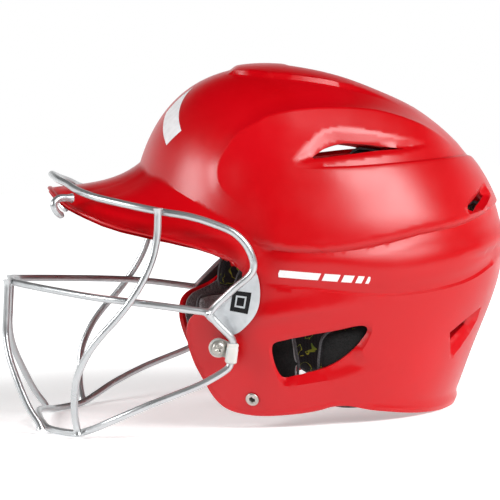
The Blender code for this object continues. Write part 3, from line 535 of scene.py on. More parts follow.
def crest_rise(space):
    """The raised strip over the crown and the groove that runs down the back of it."""
    y, across = space[:, 1], np.abs(space[:, 0])
    half = np.interp(y, CREST_Y, CREST_X)
    top = space[:, 2] > 150
    front = y + 9 + 0.0045 * across**2
    strip = smooth((half - across) / CREST_FLANK) * smooth(front / 7) * smooth((105 - y) / 55)
    half = np.interp(y, GROOVE_Y, GROOVE_X)
    groove = smooth((half - across) / GROOVE_FLANK) * smooth((y - 27) / 16) * smooth((116 - y) / 14)
    return np.where(top, CREST_HEIGHT * strip - GROOVE_DEPTH * groove, 0)


def bump_rise(yz):
    """The bulge low on the back, over the nape vents."""
    d, side, _ = distance_to(yz, smooth_path(REAR_BUMP, 4.0))
    ends = smooth((yz[:, 0] - 126) / 20)
    return ends * np.where(side > 0, 1.6 * smooth(1 - np.abs(d - 5) / 9), -0.5 * smooth(1 - d / 6))


def flare_rise(yz):
    """The rolled lip along the bottom of the back."""
    height = np.interp(yz[:, 0], [r[0] for r in RIM[15:]], [r[1] for r in RIM[15:]])
    up = yz[:, 1] - height
    reach = np.interp(yz[:, 0], [50, 70, 125], [1.0, 5.0, 7.5])
    return 2.0 * smooth((reach - up) / 4.0) * smooth((yz[:, 0] - 50) / 22)


def rise(space):
    """How far the surface stands out of the plain egg, at points in space."""
    yz = space[:, 1:]
    out = ledge_rise(yz) + ridge_rise(yz) + spear_rise(yz) + panel_rise(yz) + sill_rise(yz)
    return out + crest_rise(space) + bump_rise(yz) + flare_rise(yz)


def recess(q, holes, lips):
    """How far the surface sinks between each opening's lip and the opening itself."""
    out = np.zeros(len(q))
    for hole, lip, (depth, slope, bend) in zip(holes, lips, RECESSES):
        near = inside_polygon(q, lip) | (loop_distance(q, lip) < 0.02)
        points = q[near]
        to_lip, to_hole = loop_distance(points, lip), loop_distance(points, hole)
        span = to_lip + to_hole
        deep = np.minimum(depth, slope * span)
        out[near] = deep * (1 - (1 - to_lip / np.maximum(span, 1e-6)) ** bend)
    return out


def inner_points(outline, holes, lines):
    """A triangular grid inside the outline, clear of every edge that the mesh keeps."""
    low, high = outline.min(axis=0), outline.max(axis=0)
    rows = np.arange(low[1], high[1], MESH_STEP * 0.866)
    columns = np.arange(low[0], high[0], MESH_STEP)
    grid = [(x + MESH_STEP / 2 * (k % 2), y) for k, y in enumerate(rows) for x in columns]
    points = np.array(grid)
    points = points[inside_polygon(points, outline)]
    for hole in holes:
        points = points[~inside_polygon(points, hole)]
    kept = np.vstack([outline, *holes, *lines])
    return points[clear_of(points, kept, 0.62 * MESH_STEP)]


def clear_of(points, others, gap):
    """True for points further than the gap from all the others."""
    cells = {}
    for k, (x, y) in enumerate(others):
        cells.setdefault((int(x // gap), int(y // gap)), []).append(k)
    clear = np.ones(len(points), bool)
    for n, (x, y) in enumerate(points):
        i, j = int(x // gap), int(y // gap)
        near = [k for di in (-1, 0, 1) for dj in (-1, 0, 1) for k in cells.get((i + di, j + dj), ())]
        if near and np.min(np.hypot(others[near, 0] - x, others[near, 1] - y)) < gap:
            clear[n] = False
    return clear


def dome_triangles(outline, holes, lines):
    """The dome's map points and triangles, holes left open."""
    points, edges = [], []
    for loop in (outline, *holes):
        first = len(points)
        points += list(loop)
        edges += [(first + k, first + (k + 1) % len(loop)) for k in range(len(loop))]
    for line in lines:
        first = len(points)
        points += list(line)
        edges += [(first + k, first + k + 1) for k in range(len(line) - 1)]
    points += list(inner_points(outline, holes, lines))
    found = delaunay_2d_cdt([tuple(p) for p in points], edges, [], 0, 1e-4)
    q = np.array([tuple(p) for p in found[0]])
    triangles = np.array(found[2])
    middle = q[triangles].mean(axis=1)
    keep = inside_polygon(middle, outline)
    for hole in holes:
        keep &= ~inside_polygon(middle, hole)
    return q, triangles[keep]


def brim_edge(end):
    """The brim's free edge from its tip to the point where it meets the shell's rim."""
    turn = np.linspace(0, math.pi / 2, 200)
    y = BRIM_ROOT_Y + (BRIM_TIP_Y - BRIM_ROOT_Y) * np.cos(turn) ** (2 / 2.4)
    x = BRIM_HALF_WIDTH * np.sin(turn)
    keep = y < BRIM_EDGE_Y[-1] - 1
    path = np.stack([x, y, np.interp(y, BRIM_EDGE_Y, BRIM_EDGE_Z)], axis=1)[keep]
    path = np.vstack([path, end])
    length = np.linalg.norm(np.diff(path, axis=0), axis=1).sum()
    return resampled(path, length / BRIM_COLUMNS)


def brim_points(crease):
    """Rows of brim points from the crease to the free edge, with a bead along that edge."""
    edge = brim_edge(crease[-1])
    rows = []
    side = smooth(np.linspace(0, 1, len(crease)) * 1.6)[:, None]
    share = np.concatenate([np.linspace(0, 0.93, BRIM_ROWS - 7), np.linspace(0.94, 1, 8)])
    for t in share:
        drop = (1 - side) * (0.8 * (1 - (1 - t) ** 4) + 0.2 * t) + side * t
        row = crease + (edge - crease) * t
        row[:, 2:] = crease[:, 2:] + (edge[:, 2:] - crease[:, 2:]) * drop
        rows.append(row)
    grid = np.array(rows)
    normal = np.cross(np.gradient(grid, axis=0), np.gradient(grid, axis=1))
    size = np.linalg.norm(normal, axis=2, keepdims=True)
    normal = np.where(size > 1e-6, normal / np.maximum(size, 1e-6), [0, 0, 1.0])
    normal *= np.sign(normal[:, :, 2:] + 1e-9)
    inward = np.linalg.norm(grid - grid[-1:], axis=2)
    bead = BRIM_BEAD * (smooth(inward / 0.8) - smooth((inward - 2.0) / 1.2)) * smooth((inward[:1] - 4) / 12)
    grid += normal * bead[:, :, None]
    grid[:, 0, 0] = 0
    return list(grid)


def half_shell():
    """Vertices and faces of the shell's outer surface on the wearer's left."""
    crease = crease_path()
    rim = rim_path()
    arc = middle_arc(crease[0], rim[-1])
    rim[-1] = arc[-1]
    outline = np.vstack([crease, rim[1:], arc[::-1][1:-1]])
    holes = hole_outlines()
    lips = lip_loops()
    lines = feature_lines() + crown_lines() + bead_lines(rim)
    lines += [np.vstack([lip, lip[:1]]) for lip in lips]
    q, triangles = dome_triangles(outline, holes, lines)
    space = map_to_space(q)
    brim = brim_points(map_to_space(crease))
    out = rise(space) - recess(q, holes, lips)
    far = distance_to(q, rim)[0]
    front = smooth((52 - space[:, 1]) / 12) * smooth((86 - space[:, 2]) / 8)
    out += RIM_BEAD * front * (smooth(far / RIM_BEAD) - smooth((far - 1.5) / 1.4))
    space = space + map_normals(q) * out[:, None]
    space[np.abs(space[:, 0]) < 0.05, 0] = 0
    faces = [tuple(t) for t in triangles] + grid_faces(len(brim), len(brim[0]), len(space))
    return np.vstack([space, *brim]), faces


# ---------------------------------------------------------------- node materials
class Surface:
    """A node material in the making: a Principled shader with procedural inputs."""

    def __init__(self, name):
        self.made = bpy.data.materials.new(name)
        self.made.use_nodes = True
        self.tree = self.made.node_tree
        self.shader = self.tree.nodes["Principled BSDF"]
        self.place = self.node("ShaderNodeTexCoord").outputs["Object"]

    def node(self, kind, **settings):
        made = self.tree.nodes.new(kind)
        for key, value in settings.items():
            setattr(made, key, value)
        return made

    def link(self, source, target):
        self.tree.links.new(source, target)

    def set(self, **values):
        for key, value in values.items():
            self.shader.inputs[key.replace("_", " ")].default_value = value

    def noise(self, scale, detail=2.0, roughness=0.5, place=None, distortion=0.0):
        made = self.node("ShaderNodeTexNoise")
        made.inputs["Scale"].default_value = scale
        made.inputs["Detail"].default_value = detail
        made.inputs["Roughness"].default_value = roughness
        made.inputs["Distortion"].default_value = distortion
        self.link(place or self.place, made.inputs["Vector"])
        return made.outputs["Fac"]

    def voronoi(self, scale):
        made = self.node("ShaderNodeTexVoronoi")
        made.inputs["Scale"].default_value = scale
        self.link(self.place, made.inputs["Vector"])
        return made.outputs["Distance"]

    def ramp(self, source, stops):
        made = self.node("ShaderNodeValToRGB")
        made.color_ramp.interpolation = "EASE"
        while len(made.color_ramp.elements) < len(stops):
            made.color_ramp.elements.new(0.5)
        for element, (at, colour) in zip(made.color_ramp.elements, stops):
            element.position = at
            element.color = (*colour, 1.0)
        self.link(source, made.inputs["Fac"])
        return made.outputs["Color"]

    def between(self, source, low, high, to_low, to_high):
        made = self.node("ShaderNodeMapRange")
        for key, value in (("From Min", low), ("From Max", high), ("To Min", to_low), ("To Max", to_high)):
            made.inputs[key].default_value = value
        self.link(source, made.inputs["Value"])
        return made.outputs["Result"]

    def math(self, operation, *values):
        made = self.node("ShaderNodeMath", operation=operation)
        for socket, value in zip(made.inputs, values):
            if isinstance(value, float):
                socket.default_value = value
            else:
                self.link(value, socket)
        return made.outputs["Value"]

    def mix(self, factor, a, b):
        made = self.node("ShaderNodeMix", data_type="RGBA")
        for socket, value in ((made.inputs[0], factor), (made.inputs[6], a), (made.inputs[7], b)):
            if isinstance(value, tuple):
                socket.default_value = (*value, 1.0)
            else:
                self.link(value, socket)
        return made.outputs[2]

    def scaled(self, x, y, z):
        made = self.node("ShaderNodeMapping")
        made.inputs["Scale"].default_value = (x, y, z)
        self.link(self.place, made.inputs["Vector"])
        return made.outputs["Vector"]

    def bump(self, height, distance, strength):
        made = self.node("ShaderNodeBump")
        made.inputs["Strength"].default_value = strength
        made.inputs["Distance"].default_value = distance
        self.link(height, made.inputs["Height"])
        return made.outputs["Normal"]

    def finish(self, colour=None, roughness=None, normal=None):
        for key, source in (("Base Color", colour), ("Roughness", roughness), ("Normal", normal)):
            if source is not None:
                self.link(source, self.shader.inputs[key])
        return self.made


def red_plastic():
    s = Surface("red_shell_plastic")
    tint = s.noise(14.0, 3.0)
    colour = s.ramp(tint, [(0.30, (0.480, 0.0005, 0.0030)), (0.70, (0.530, 0.0009, 0.0050))])
    grain = s.noise(2600.0, 2.0, 0.6)
    cloud = s.noise(60.0, 3.0)
    roughness = s.between(cloud, 0.3, 0.7, 0.29, 0.34)
    s.set(IOR=1.5, Specular_IOR_Level=0.42)
    return s.finish(colour, roughness, s.bump(grain, 0.00006, 0.35))


# patches: scale, detail, two colours; gloss: scale, least and most roughness;
# skin: scale, detail, depth, strength
COATS = {
    "white_print": {
        "patches": (220.0, 3.0, (0.78, 0.76, 0.77), (0.86, 0.85, 0.86)),
        "gloss": (90.0, 0.36, 0.46),
        "skin": (1800.0, 2.0, 0.00004, 0.3),
        "settings": {},
    },
    "black_print": {
        "patches": (300.0, 3.0, (0.004, 0.004, 0.005), (0.010, 0.010, 0.011)),
        "gloss": (140.0, 0.34, 0.5),
        "skin": (1500.0, 2.0, 0.00004, 0.3),
        "settings": {"Specular_IOR_Level": 0.2},
    },
    "silver_paint": {
        "patches": (45.0, 2.0, (0.51, 0.53, 0.54), (0.57, 0.59, 0.60)),
        "gloss": (90.0, 0.27, 0.33),
        "skin": (110.0, 2.0, 0.00002, 0.2),
        "settings": {"Metallic": 0.78},
    },
    "silver_paint_on_sheet": {
        "patches": (260.0, 2.0, (0.57, 0.60, 0.62), (0.62, 0.65, 0.67)),
        "gloss": (90.0, 0.34, 0.42),
        "skin": (500.0, 2.0, 0.00002, 0.3),
        "settings": {"Metallic": 0.35},
    },
    # painted shade: a dark grey that stands in for the shade on the side plates' backs
    "painted_shade_grey": {
        "patches": (200.0, 2.0, (0.060, 0.062, 0.066), (0.085, 0.088, 0.092)),
        "gloss": (90.0, 0.42, 0.52),
        "skin": (500.0, 2.0, 0.00003, 0.3),
        "settings": {"Metallic": 0.3},
    },
    "white_nylon": {
        "patches": (80.0, 3.0, (0.56, 0.56, 0.53), (0.63, 0.63, 0.60)),
        "gloss": (500.0, 0.36, 0.48),
        "skin": (1200.0, 3.0, 0.00008, 0.4),
        "settings": {"Subsurface_Weight": 0.12, "Subsurface_Scale": 0.002},
    },
}


def coat(name):
    """Plain paint, print or moulding, or a dark grey of painted shade: two close colours in soft patches, an
    uneven gloss and a faint skin.
    """
    parts = COATS[name]
    s = Surface(name)
    s.set(IOR=1.5, **parts["settings"])
    scale, detail, low, high = parts["patches"]
    colour = s.ramp(s.noise(scale, detail), [(0.3, low), (0.7, high)])
    scale, least, most = parts["gloss"]
    roughness = s.between(s.noise(scale), 0.3, 0.7, least, most)
    scale, detail, depth, strength = parts["skin"]
    return s.finish(colour, roughness, s.bump(s.noise(scale, detail), depth, strength))


def steel():
    s = Surface("nickel_steel")
    brushed = s.noise(700.0, 3.0, 0.6, s.scaled(1.0, 1.0, 6.0))
    colour = s.ramp(s.noise(200.0, 3.0), [(0.3, (0.40, 0.39, 0.35)), (0.7, (0.50, 0.49, 0.45))])
    s.set(Metallic=0.8)
    return s.finish(colour, s.between(brushed, 0.3, 0.7, 0.34, 0.46), s.bump(brushed, 0.00004, 0.4))


def weave(s, pitch, depth):
    """Threads of a woven or knitted face, as a bump from three crossed waves."""
    waves = []
    for axes in ((1.0, 0.35, 0.2), (-0.2, 1.0, 0.35), (0.3, -0.25, 1.0)):
        wave = s.node("ShaderNodeTexWave", wave_type="BANDS", bands_direction="X")
        wave.inputs["Scale"].default_value = 1.0
        wave.inputs["Distortion"].default_value = 0.6
        turned = s.node("ShaderNodeVectorMath", operation="DOT_PRODUCT")
        s.link(s.place, turned.inputs[0])
        turned.inputs[1].default_value = axes
        spread = s.node("ShaderNodeCombineXYZ")
        s.link(s.math("MULTIPLY", turned.outputs["Value"], 0.3142 / pitch), spread.inputs["X"])
        s.link(spread.outputs["Vector"], wave.inputs["Vector"])
        waves.append(wave.outputs["Fac"])
    crossed = s.math("MULTIPLY", s.math("MAXIMUM", waves[0], waves[1]), s.math("ADD", waves[2], 0.6))
    return crossed, s.bump(crossed, depth, 0.7)


def black_fabric():
    """Black wicking fabric with a sparse green and yellow scribble printed on it."""
    s = Surface("black_lining_fabric")
    threads, normal = weave(s, 0.0011, 0.00025)
    base = s.mix(threads, (0.004, 0.004, 0.005), (0.016, 0.016, 0.018))
    warped = s.noise(55.0, 2.0, 0.5, distortion=1.8)
    line = s.math("ABSOLUTE", s.math("SUBTRACT", warped, 0.52))
    scribble = s.between(line, 0.008, 0.018, 1.0, 0.0)
    patches = s.between(s.noise(38.0, 1.0), 0.48, 0.54, 0.0, 1.0)
    hue = s.mix(s.between(s.noise(20.0), 0.45, 0.55, 0.0, 1.0), (0.06, 0.15, 0.02), (0.30, 0.32, 0.03))
    colour = s.mix(s.math("MULTIPLY", scribble, patches), base, hue)
    s.set(Sheen_Weight=0.05, Specular_IOR_Level=0.2)
    return s.finish(colour, s.between(threads, 0.0, 1.0, 0.95, 0.75), normal)


def black_foam():
    s = Surface("black_foam")
    cells = s.voronoi(1100.0)
    colour = s.mix(s.between(cells, 0.1, 0.6, 0.0, 1.0), (0.002, 0.002, 0.002), (0.010, 0.010, 0.010))
    s.set(Sheen_Weight=0.02, Specular_IOR_Level=0.2)
    return s.finish(colour, s.between(s.noise(300.0), 0.3, 0.7, 0.8, 0.95), s.bump(cells, 0.0003, 0.6))


def grey_felt():
    """Light and dark fibres pressed into a speckled felt."""
    s = Surface("grey_felt")
    fibres = s.noise(900.0, 5.0, 0.75, s.scaled(1.0, 1.0, 0.45))
    fleck = s.noise(1500.0, 2.0, 0.6)
    shades = [(0.34, (0.05, 0.051, 0.052)), (0.52, (0.16, 0.162, 0.166)), (0.68, (0.36, 0.36, 0.37))]
    colour = s.ramp(fibres, shades)
    colour = s.mix(s.between(fleck, 0.60, 0.66, 0.0, 0.75), colour, (0.55, 0.55, 0.56))
    s.set(Sheen_Weight=0.5, Sheen_Roughness=0.6)
    return s.finish(colour, s.between(fibres, 0.3, 0.7, 0.95, 0.85), s.bump(fibres, 0.0005, 0.8))


def piping_cloth():
    s = Surface("grey_piping")
    threads, normal = weave(s, 0.0008, 0.0002)
    colour = s.mix(threads, (0.025, 0.025, 0.028), (0.085, 0.085, 0.09))
    s.set(Sheen_Weight=0.1)
    return s.finish(colour, s.between(threads, 0.0, 1.0, 0.9, 0.75), normal)


def studio_white():
    """White paper that glows behind the object, so that it has no horizon, and is dim in front of it."""
    s = Surface("studio_white")
    colour = s.ramp(s.noise(3.0, 2.0), [(0.3, (0.90, 0.90, 0.90)), (0.7, (0.92, 0.92, 0.92))])
    parts = s.node("ShaderNodeSeparateXYZ")
    s.link(s.place, parts.inputs["Vector"])
    behind = s.between(parts.outputs["X"], -0.15, -0.75, 0.0, 0.62)
    near = s.between(parts.outputs["X"], 0.75, 0.40, 0.0, 0.40)
    s.link(s.math("ADD", behind, near), s.shader.inputs["Emission Strength"])
    s.set(Emission_Color=(1.0, 1.0, 1.0, 1.0))
    return s.finish(colour, s.between(s.noise(8.0), 0.3, 0.7, 0.85, 0.95))


# ---------------------------------------------------------------- mesh helpers
def new_mesh(name, points, faces, material, sharp=None):
    """A mesh object from points in millimetres, smooth but for edges sharper than the angle in degrees."""
    mesh = bpy.data.meshes.new(name)
    mesh.from_pydata((np.array(points) * MM).tolist(), [], [tuple(map(int, f)) for f in faces])
    made = bpy.data.objects.new(name, mesh)
    bpy.context.scene.collection.objects.link(made)
    if material:
        mesh.materials.append(material)
    work = bmesh.new()
    work.from_mesh(mesh)
    bmesh.ops.remove_doubles(work, verts=work.verts, dist=0.000004)
    bmesh.ops.recalc_face_normals(work, faces=work.faces)
    smooth_shading(work, sharp)
    work.to_mesh(mesh)
    work.free()
    return made


def smooth_shading(work, sharp):
    for face in work.faces:
        face.smooth = True
    if sharp is None:
        return
    limit = math.radians(sharp)
    for edge in work.edges:
        if len(edge.link_faces) == 2 and edge.calc_face_angle(0.0) > limit:
            edge.smooth = False


def mirrored(points):
    return np.array(points, float) * [-1, 1, 1]


def tube_rings(path, radius, sides):
    """Rings of points round a path, kept from twisting; the radius may differ from ring to ring."""
    tangent = np.gradient(path, axis=0)
    tangent /= np.linalg.norm(tangent, axis=1, keepdims=True)
    across = np.cross(tangent[0], [0.0, 0.0, 1.0])
    if np.linalg.norm(across) < 0.2:
        across = np.cross(tangent[0], [0.0, 1.0, 0.0])
    rings = []
    turn = np.arange(sides) * 2 * math.pi / sides
    for point, t, r in zip(path, tangent, np.broadcast_to(radius, len(path))):
        across = across - t * (across @ t)
        across /= np.linalg.norm(across)
        up = np.cross(t, across)
        rings.append(point + r * (np.cos(turn)[:, None] * across + np.sin(turn)[:, None] * up))
    return rings


def skin_faces(count, sides):
    faces = []
    for i in range(count - 1):
        for k in range(sides):
            a, b = i * sides + k, i * sides + (k + 1) % sides
            faces.append((a, b, b + sides, a + sides))
    faces.append(tuple(range(sides))[::-1])
    faces.append(tuple(range((count - 1) * sides, count * sides)))
    return faces


def loop_faces(count, sides):
    faces = []
    for i in range(count):
        for k in range(sides):
            a, b = i * sides + k, i * sides + (k + 1) % sides
            c, d = (i + 1) % count * sides + (k + 1) % sides, (i + 1) % count * sides + k
            faces.append((a, b, c, d))
    return faces


def grid_faces(rows, columns, base=0):
    """Quads of a grid of points that is stored row by row."""
    faces = []
    for i in range(rows - 1):
        for j in range(columns - 1):
            k = base + i * columns + j
            faces.append((k, k + columns, k + columns + 1, k + 1))
    return faces


def lathe_mesh(name, profile, origin, axis, material, closed=False):
    """A body turned about an axis; each profile point is (distance along the axis, radius)."""
    sides = LATHE_SIDES
    axis = np.array(axis, float) / np.linalg.norm(axis)
    across = np.cross(axis, [0.0, 0.0, 1.0])
    across /= np.linalg.norm(across)
    up = np.cross(axis, across)
    turn = np.arange(sides) * 2 * math.pi / sides
    circle = np.cos(turn)[:, None] * across + np.sin(turn)[:, None] * up
    points = np.vstack([np.array(origin) + axis * x + radius * circle for x, radius in profile])
    faces = (loop_faces if closed else skin_faces)(len(profile), sides)
    return new_mesh(name, points, faces, material, 40)


# ---------------------------------------------------------------- the shell
def build_shell(material):
    points, faces = half_shell()
    made = new_mesh("shell_skin", points, faces, material)
    work = bmesh.new()
    work.from_mesh(made.data)
    middle = Vector((0.0, CENTRE[0] * MM, CENTRE[1] * MM))
    if sum((f.calc_center_median() - middle).dot(f.normal) * f.calc_area() for f in work.faces) < 0:
        bmesh.ops.reverse_faces(work, faces=work.faces)
    smooth_shading(work, 38)
    work.to_mesh(made.data)
    work.free()
    mirror = made.modifiers.new("other half", "MIRROR")
    mirror.merge_threshold = 0.00002
    wall = made.modifiers.new("wall", "SOLIDIFY")
    wall.thickness = WALL * MM
    wall.offset = -1
    wall.use_even_offset = True
    wall.use_rim = True
    rounding = made.modifiers.new("rounded edges", "BEVEL")
    rounding.width = 0.0006
    rounding.segments = 2
    rounding.limit_method = "ANGLE"
    rounding.angle_limit = math.radians(55)
    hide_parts("outer_shell")
    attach(made, "helmet")


def on_shell(q, lift):
    """Points on the finished shell over map points, lifted off it."""
    space = map_to_space(q)
    return space + map_normals(q) * (rise(space) + lift)[:, None]


def filled(outline, step):
    """Map points and triangles that fill a closed outline of the map, and the outline as a smooth loop."""
    loop = closed_path(outline, step)
    low, high = loop.min(axis=0), loop.max(axis=0)
    grid = [(x, y) for x in np.arange(low[0], high[0], step) for y in np.arange(low[1], high[1], step)]
    points = np.array(grid).reshape(-1, 2)
    points = points[inside_polygon(points, loop)]
    points = points[loop_distance(points, loop) > 0.6 * step]
    edges = [(k, (k + 1) % len(loop)) for k in range(len(loop))]
    found = delaunay_2d_cdt([tuple(p) for p in (*loop, *points)], edges, [], 0, 1e-4)
    q = np.array([tuple(p) for p in found[0]])
    triangles = np.array(found[2])
    keep = inside_polygon(q[triangles].mean(axis=1), loop)
    return q, triangles[keep], loop


def chevron_mesh(material):
    """The two bars of the white chevron printed on the dome's front."""
    a, b, c, d = (np.array(p) for p in CHEVRON_BAR)
    columns, rows = 22, 9
    q = []
    for u in np.linspace(0, 1, columns + 1):
        for v in np.linspace(0, 1, rows + 1):
            x, z = (a * (1 - u) + b * u) * (1 - v) + (d * (1 - u) + c * u) * v
            q.append(side_to_map([forehead_point(x, z)])[0])
    faces = []
    for i in range(columns):
        for j in range(rows):
            k = i * (rows + 1) + j
            faces.append((k, k + 1, k + rows + 2, k + rows + 1))
    points = on_shell(np.array(q), PRINT_LIFT)
    both = [*faces, *[tuple(len(points) + k for k in face[::-1]) for face in faces]]
    return new_mesh("front_chevron", np.vstack([points, mirrored(points)]), both, material)


def stripe_mesh(name, material, right):
    """The slanted white dashes printed on the side."""
    line = smooth_path(STRIPE_LINE, 0.4)
    length = run_lengths(line)
    points, faces = [], []
    for start, end in STRIPE_RUNS:
        columns, rows = max(2, round((end - start) / 1.6)), 4
        base = sum(len(p) for p in points)
        grid = []
        for u in np.linspace(start, end, columns + 1):
            for v in np.linspace(-1, 1, rows + 1):
                at = u + STRIPE_SLANT * v
                y, z = np.interp(at, length, line[:, 0]), np.interp(at, length, line[:, 1])
                grid.append((y, z + STRIPE_HALF_HEIGHT * v))
        points.append(on_shell(side_to_map(grid), PRINT_LIFT))
        faces += grid_faces(columns + 1, rows + 1, base)
    points = np.vstack(points)
    return new_mesh(name, mirrored(points) if right else points, faces, material)


def place(made, body, slot, *nodes):
    """Rides a piece on its body and hides the imported parts that it stands for; the slot is not used."""
    if nodes:
        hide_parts(*nodes)
    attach(made, body)
    return made


# ---------------------------------------------------------------- face guard
def wire_mesh(name, points, material, ends=(True, True)):
    """A round wire along a path, flared into a weld at the ends that meet another wire."""
    path = smooth_path(points, WIRE_STEP)
    length = run_lengths(path)
    radius = np.full(len(path), WIRE_R)
    for at_end, run in zip(ends, (length, length[-1] - length)):
        if at_end:
            radius += WELD_SWELL * smooth((WELD_RUN - run) / WELD_RUN)
        else:
            radius -= WELD_SWELL * smooth(1.0 - run)
    rings = tube_rings(path, radius, WIRE_SIDES)
    return new_mesh(name, np.vstack(rings), skin_faces(len(rings), WIRE_SIDES), material, 50)


def both_sides(points):
    """A route that starts in the middle, run through to the mirror image of its end."""
    return [*mirrored(points[::-1]), *points[1:]]


def build_wires(material):
    for name, points in (("top_bar", TOP_BAR), ("eye_bar", EYE_BAR), ("chin_bar", CHIN_BAR)):
        route = both_sides([*points, WELD_CORNER])
        place(wire_mesh(f"{name}_wire", route, material), "face_guard", "silver_wire", name)
    for prefix, turn in (("left", np.array), ("right", mirrored)):
        for name, points, ends in (
            ("centre_upright", CENTRE_UPRIGHT, (True, True)),
            ("side_upright", SIDE_UPRIGHT, (True, True)),
            ("brim_hook", BRIM_HOOK, (True, False)),
        ):
            made = wire_mesh(f"{prefix}_{name}_wire", turn(points), material, ends)
            place(made, "face_guard", "silver_wire", f"{prefix}_{name}")


def sheet_mesh(name, fill, low, high, material, right):
    """A closed thin sheet between two layers of points, over the same filled outline."""
    q, triangles, loop = fill
    count = len(q)
    faces = [tuple(t) for t in triangles] + [tuple(count + t[::-1]) for t in triangles]
    rim = [int(np.argmin(np.hypot(*(q - p).T))) for p in loop]
    for a, b in zip(rim, rim[1:] + rim[:1]):
        faces.append((a, b, count + b, count + a))
    points = np.vstack([low, high])
    return new_mesh(name, mirrored(points) if right else points, faces, material, 50)


def plate_mesh(name, coat, back, right):
    """The side plate: a thin sheet with a rolled edge that follows the shell; the side towards the shell is a
    dark grey of painted shade.
    """
    q, triangles, loop = filled(side_to_map(PLATE), 1.5)
    surface, normal = map_to_space(q), map_normals(q)
    edge = loop_distance(q, loop)
    bead = PLATE_BEAD * (smooth((1.8 - edge) / 1.2) - smooth((0.5 - edge) / 0.5))
    low = surface + normal * PLATE_OFFSET
    high = low + normal * (PLATE_THICKNESS + bead)[:, None]
    made = sheet_mesh(name, (q, triangles, loop), low, high, coat, right)
    # faces towards the shell take the second material, the dark grey painted shade
    made.data.materials.append(back)
    for face in made.data.polygons:
        if face.normal.x * (-1 if right else 1) < -0.2:
            face.material_index = 1
    return made


def mark_mesh(name, material, right):
    """A plain diamond inside a diamond ring, printed on the plate."""
    middle = side_to_map([PLATE_MARK])[0]
    points, faces = [], []
    sides, rows, tilt = 24, 3, math.radians(38)
    for radii in PLATE_MARK_RADII:
        base = len(points)
        for radius in np.linspace(*radii, rows + 1):
            for k in range(sides):
                t = 2 * math.pi * k / sides
                r = radius / (abs(math.cos(t)) + abs(math.sin(t)))
                points.append(middle + r * np.array([math.cos(t + tilt), math.sin(t + tilt)]))
        for j in range(rows):
            for k in range(sides):
                a, b = base + j * sides + k, base + j * sides + (k + 1) % sides
                faces.append((a, b, b + sides, a + sides))
    q = np.array(points)
    lifted = map_to_space(q) + map_normals(q) * (PLATE_OFFSET + PLATE_THICKNESS + PLATE_MARK_LIFT)
    return new_mesh(name, mirrored(lifted) if right else lifted, faces, material)


def clip_mesh(name, material, right):
    """A nylon sleeve closed round the wire, with a flat boss that the screw holds."""
    side = -1.0 if right else 1.0
    path = smooth_path(CHIN_BAR, 0.8)
    path = path[(path[:, 2] > CLIP_SLEEVE_Z[0]) & (path[:, 2] < CLIP_SLEEVE_Z[1]) & (path[:, 1] > -32)]
    length = run_lengths(path)
    ends = np.minimum(length, length[-1] - length)
    slit = 0.35 * np.exp(-(((length - length[-1] + 2.6) / 0.45) ** 2))
    radius = CLIP_SLEEVE_R - 0.8 * smooth((0.9 - ends) / 0.9) - slit
    outer = tube_rings(path, radius, CLIP_SIDES)
    inner = tube_rings(path, CLIP_BORE_R, CLIP_SIDES)[::-1]
    squared = []
    for ring_points, middle in zip(outer, path):
        off = ring_points - middle
        size = np.abs(off / CLIP_SLEEVE_R)
        full = (size**CLIP_SQUARENESS).sum(axis=1, keepdims=True) ** (1 / CLIP_SQUARENESS)
        reach = np.linalg.norm(off, axis=1, keepdims=True)
        squared.append(middle + off / np.maximum(full, 1e-6) * reach / CLIP_SLEEVE_R)
    points = np.vstack([*squared, *inner])
    faces = loop_faces(len(squared) * 2, CLIP_SIDES)
    turn = np.radians(np.linspace(70, 290, 40))
    round_end = [(SCREW[0] + CLIP_BOSS_R * math.cos(t), SCREW[1] + CLIP_BOSS_R * math.sin(t)) for t in turn]
    outline = np.array(CLIP_WEB + round_end[::-1])
    middle = outline.mean(axis=0)
    layers = [(CLIP_BASE_X, 0.94), (CLIP_BASE_X + 0.4, 1.0), (CLIP_TOP_X - 0.5, 1.0), (CLIP_TOP_X, 0.94)]
    boss = [(x, *(middle + (p - middle) * share)) for x, share in layers for p in outline]
    base = len(points)
    faces += [tuple(base + k for k in face) for face in skin_faces(len(layers), len(outline))]
    return new_mesh(name, np.vstack([points, boss]) * [side, 1, 1], faces, material, 35)


def screw_mesh(name, material, right):
    """A pan-head screw with a cross recess."""
    side = -1.0 if right else 1.0
    head = CLIP_TOP_X + PLAY + WASHER_T + PLAY
    tip = map_to_space(side_to_map([SCREW]))[0, 0] - WALL - NUT_GAP - NUT_LENGTH - 1.0
    dome = []
    for t in np.radians(range(84, 3, -8)):
        dome.append((head + SCREW_HEAD_H - 1.2 * math.sin(t) ** 4, SCREW_HEAD_R * math.sin(t)))
    profile = [(tip, SHANK_R - 0.5), (tip + 0.6, SHANK_R), (head, SHANK_R), (head, SCREW_HEAD_R - 0.3)]
    profile += [(head + 0.3, SCREW_HEAD_R), *dome]
    made = lathe_mesh(name, profile, (0.0, *SCREW), (side, 0.0, 0.0), material)
    top = head + SCREW_HEAD_H
    for turn in (0.35, 0.35 + math.pi / 2):
        along = np.array([0.0, math.cos(turn), math.sin(turn)])
        over = np.array([0.0, -math.sin(turn), math.cos(turn)])
        corners = []
        for x, reach, half in ((top - 1.4, 1.7, 0.5), (top + 1.0, 3.3, 0.75)):
            for a, b in ((-1, -1), (1, -1), (1, 1), (-1, 1)):
                corners.append(np.array([x * side, *SCREW]) + a * reach * along + b * half * over)
        tool = new_mesh(f"{name}_cutter_{round(turn * 10)}", corners, skin_faces(2, 4), material)
        cut = made.modifiers.new("recess", "BOOLEAN")
        cut.operation = "DIFFERENCE"
        cut.solver = "EXACT"
        cut.object = tool
        apply_modifiers(made)
        bpy.data.objects.remove(tool)
    return made


def apply_modifiers(made):
    """Turns what the modifiers make into the mesh itself."""
    graph = bpy.context.evaluated_depsgraph_get()
    mesh = bpy.data.meshes.new_from_object(made.evaluated_get(graph))
    made.modifiers.clear()
    made.data = mesh


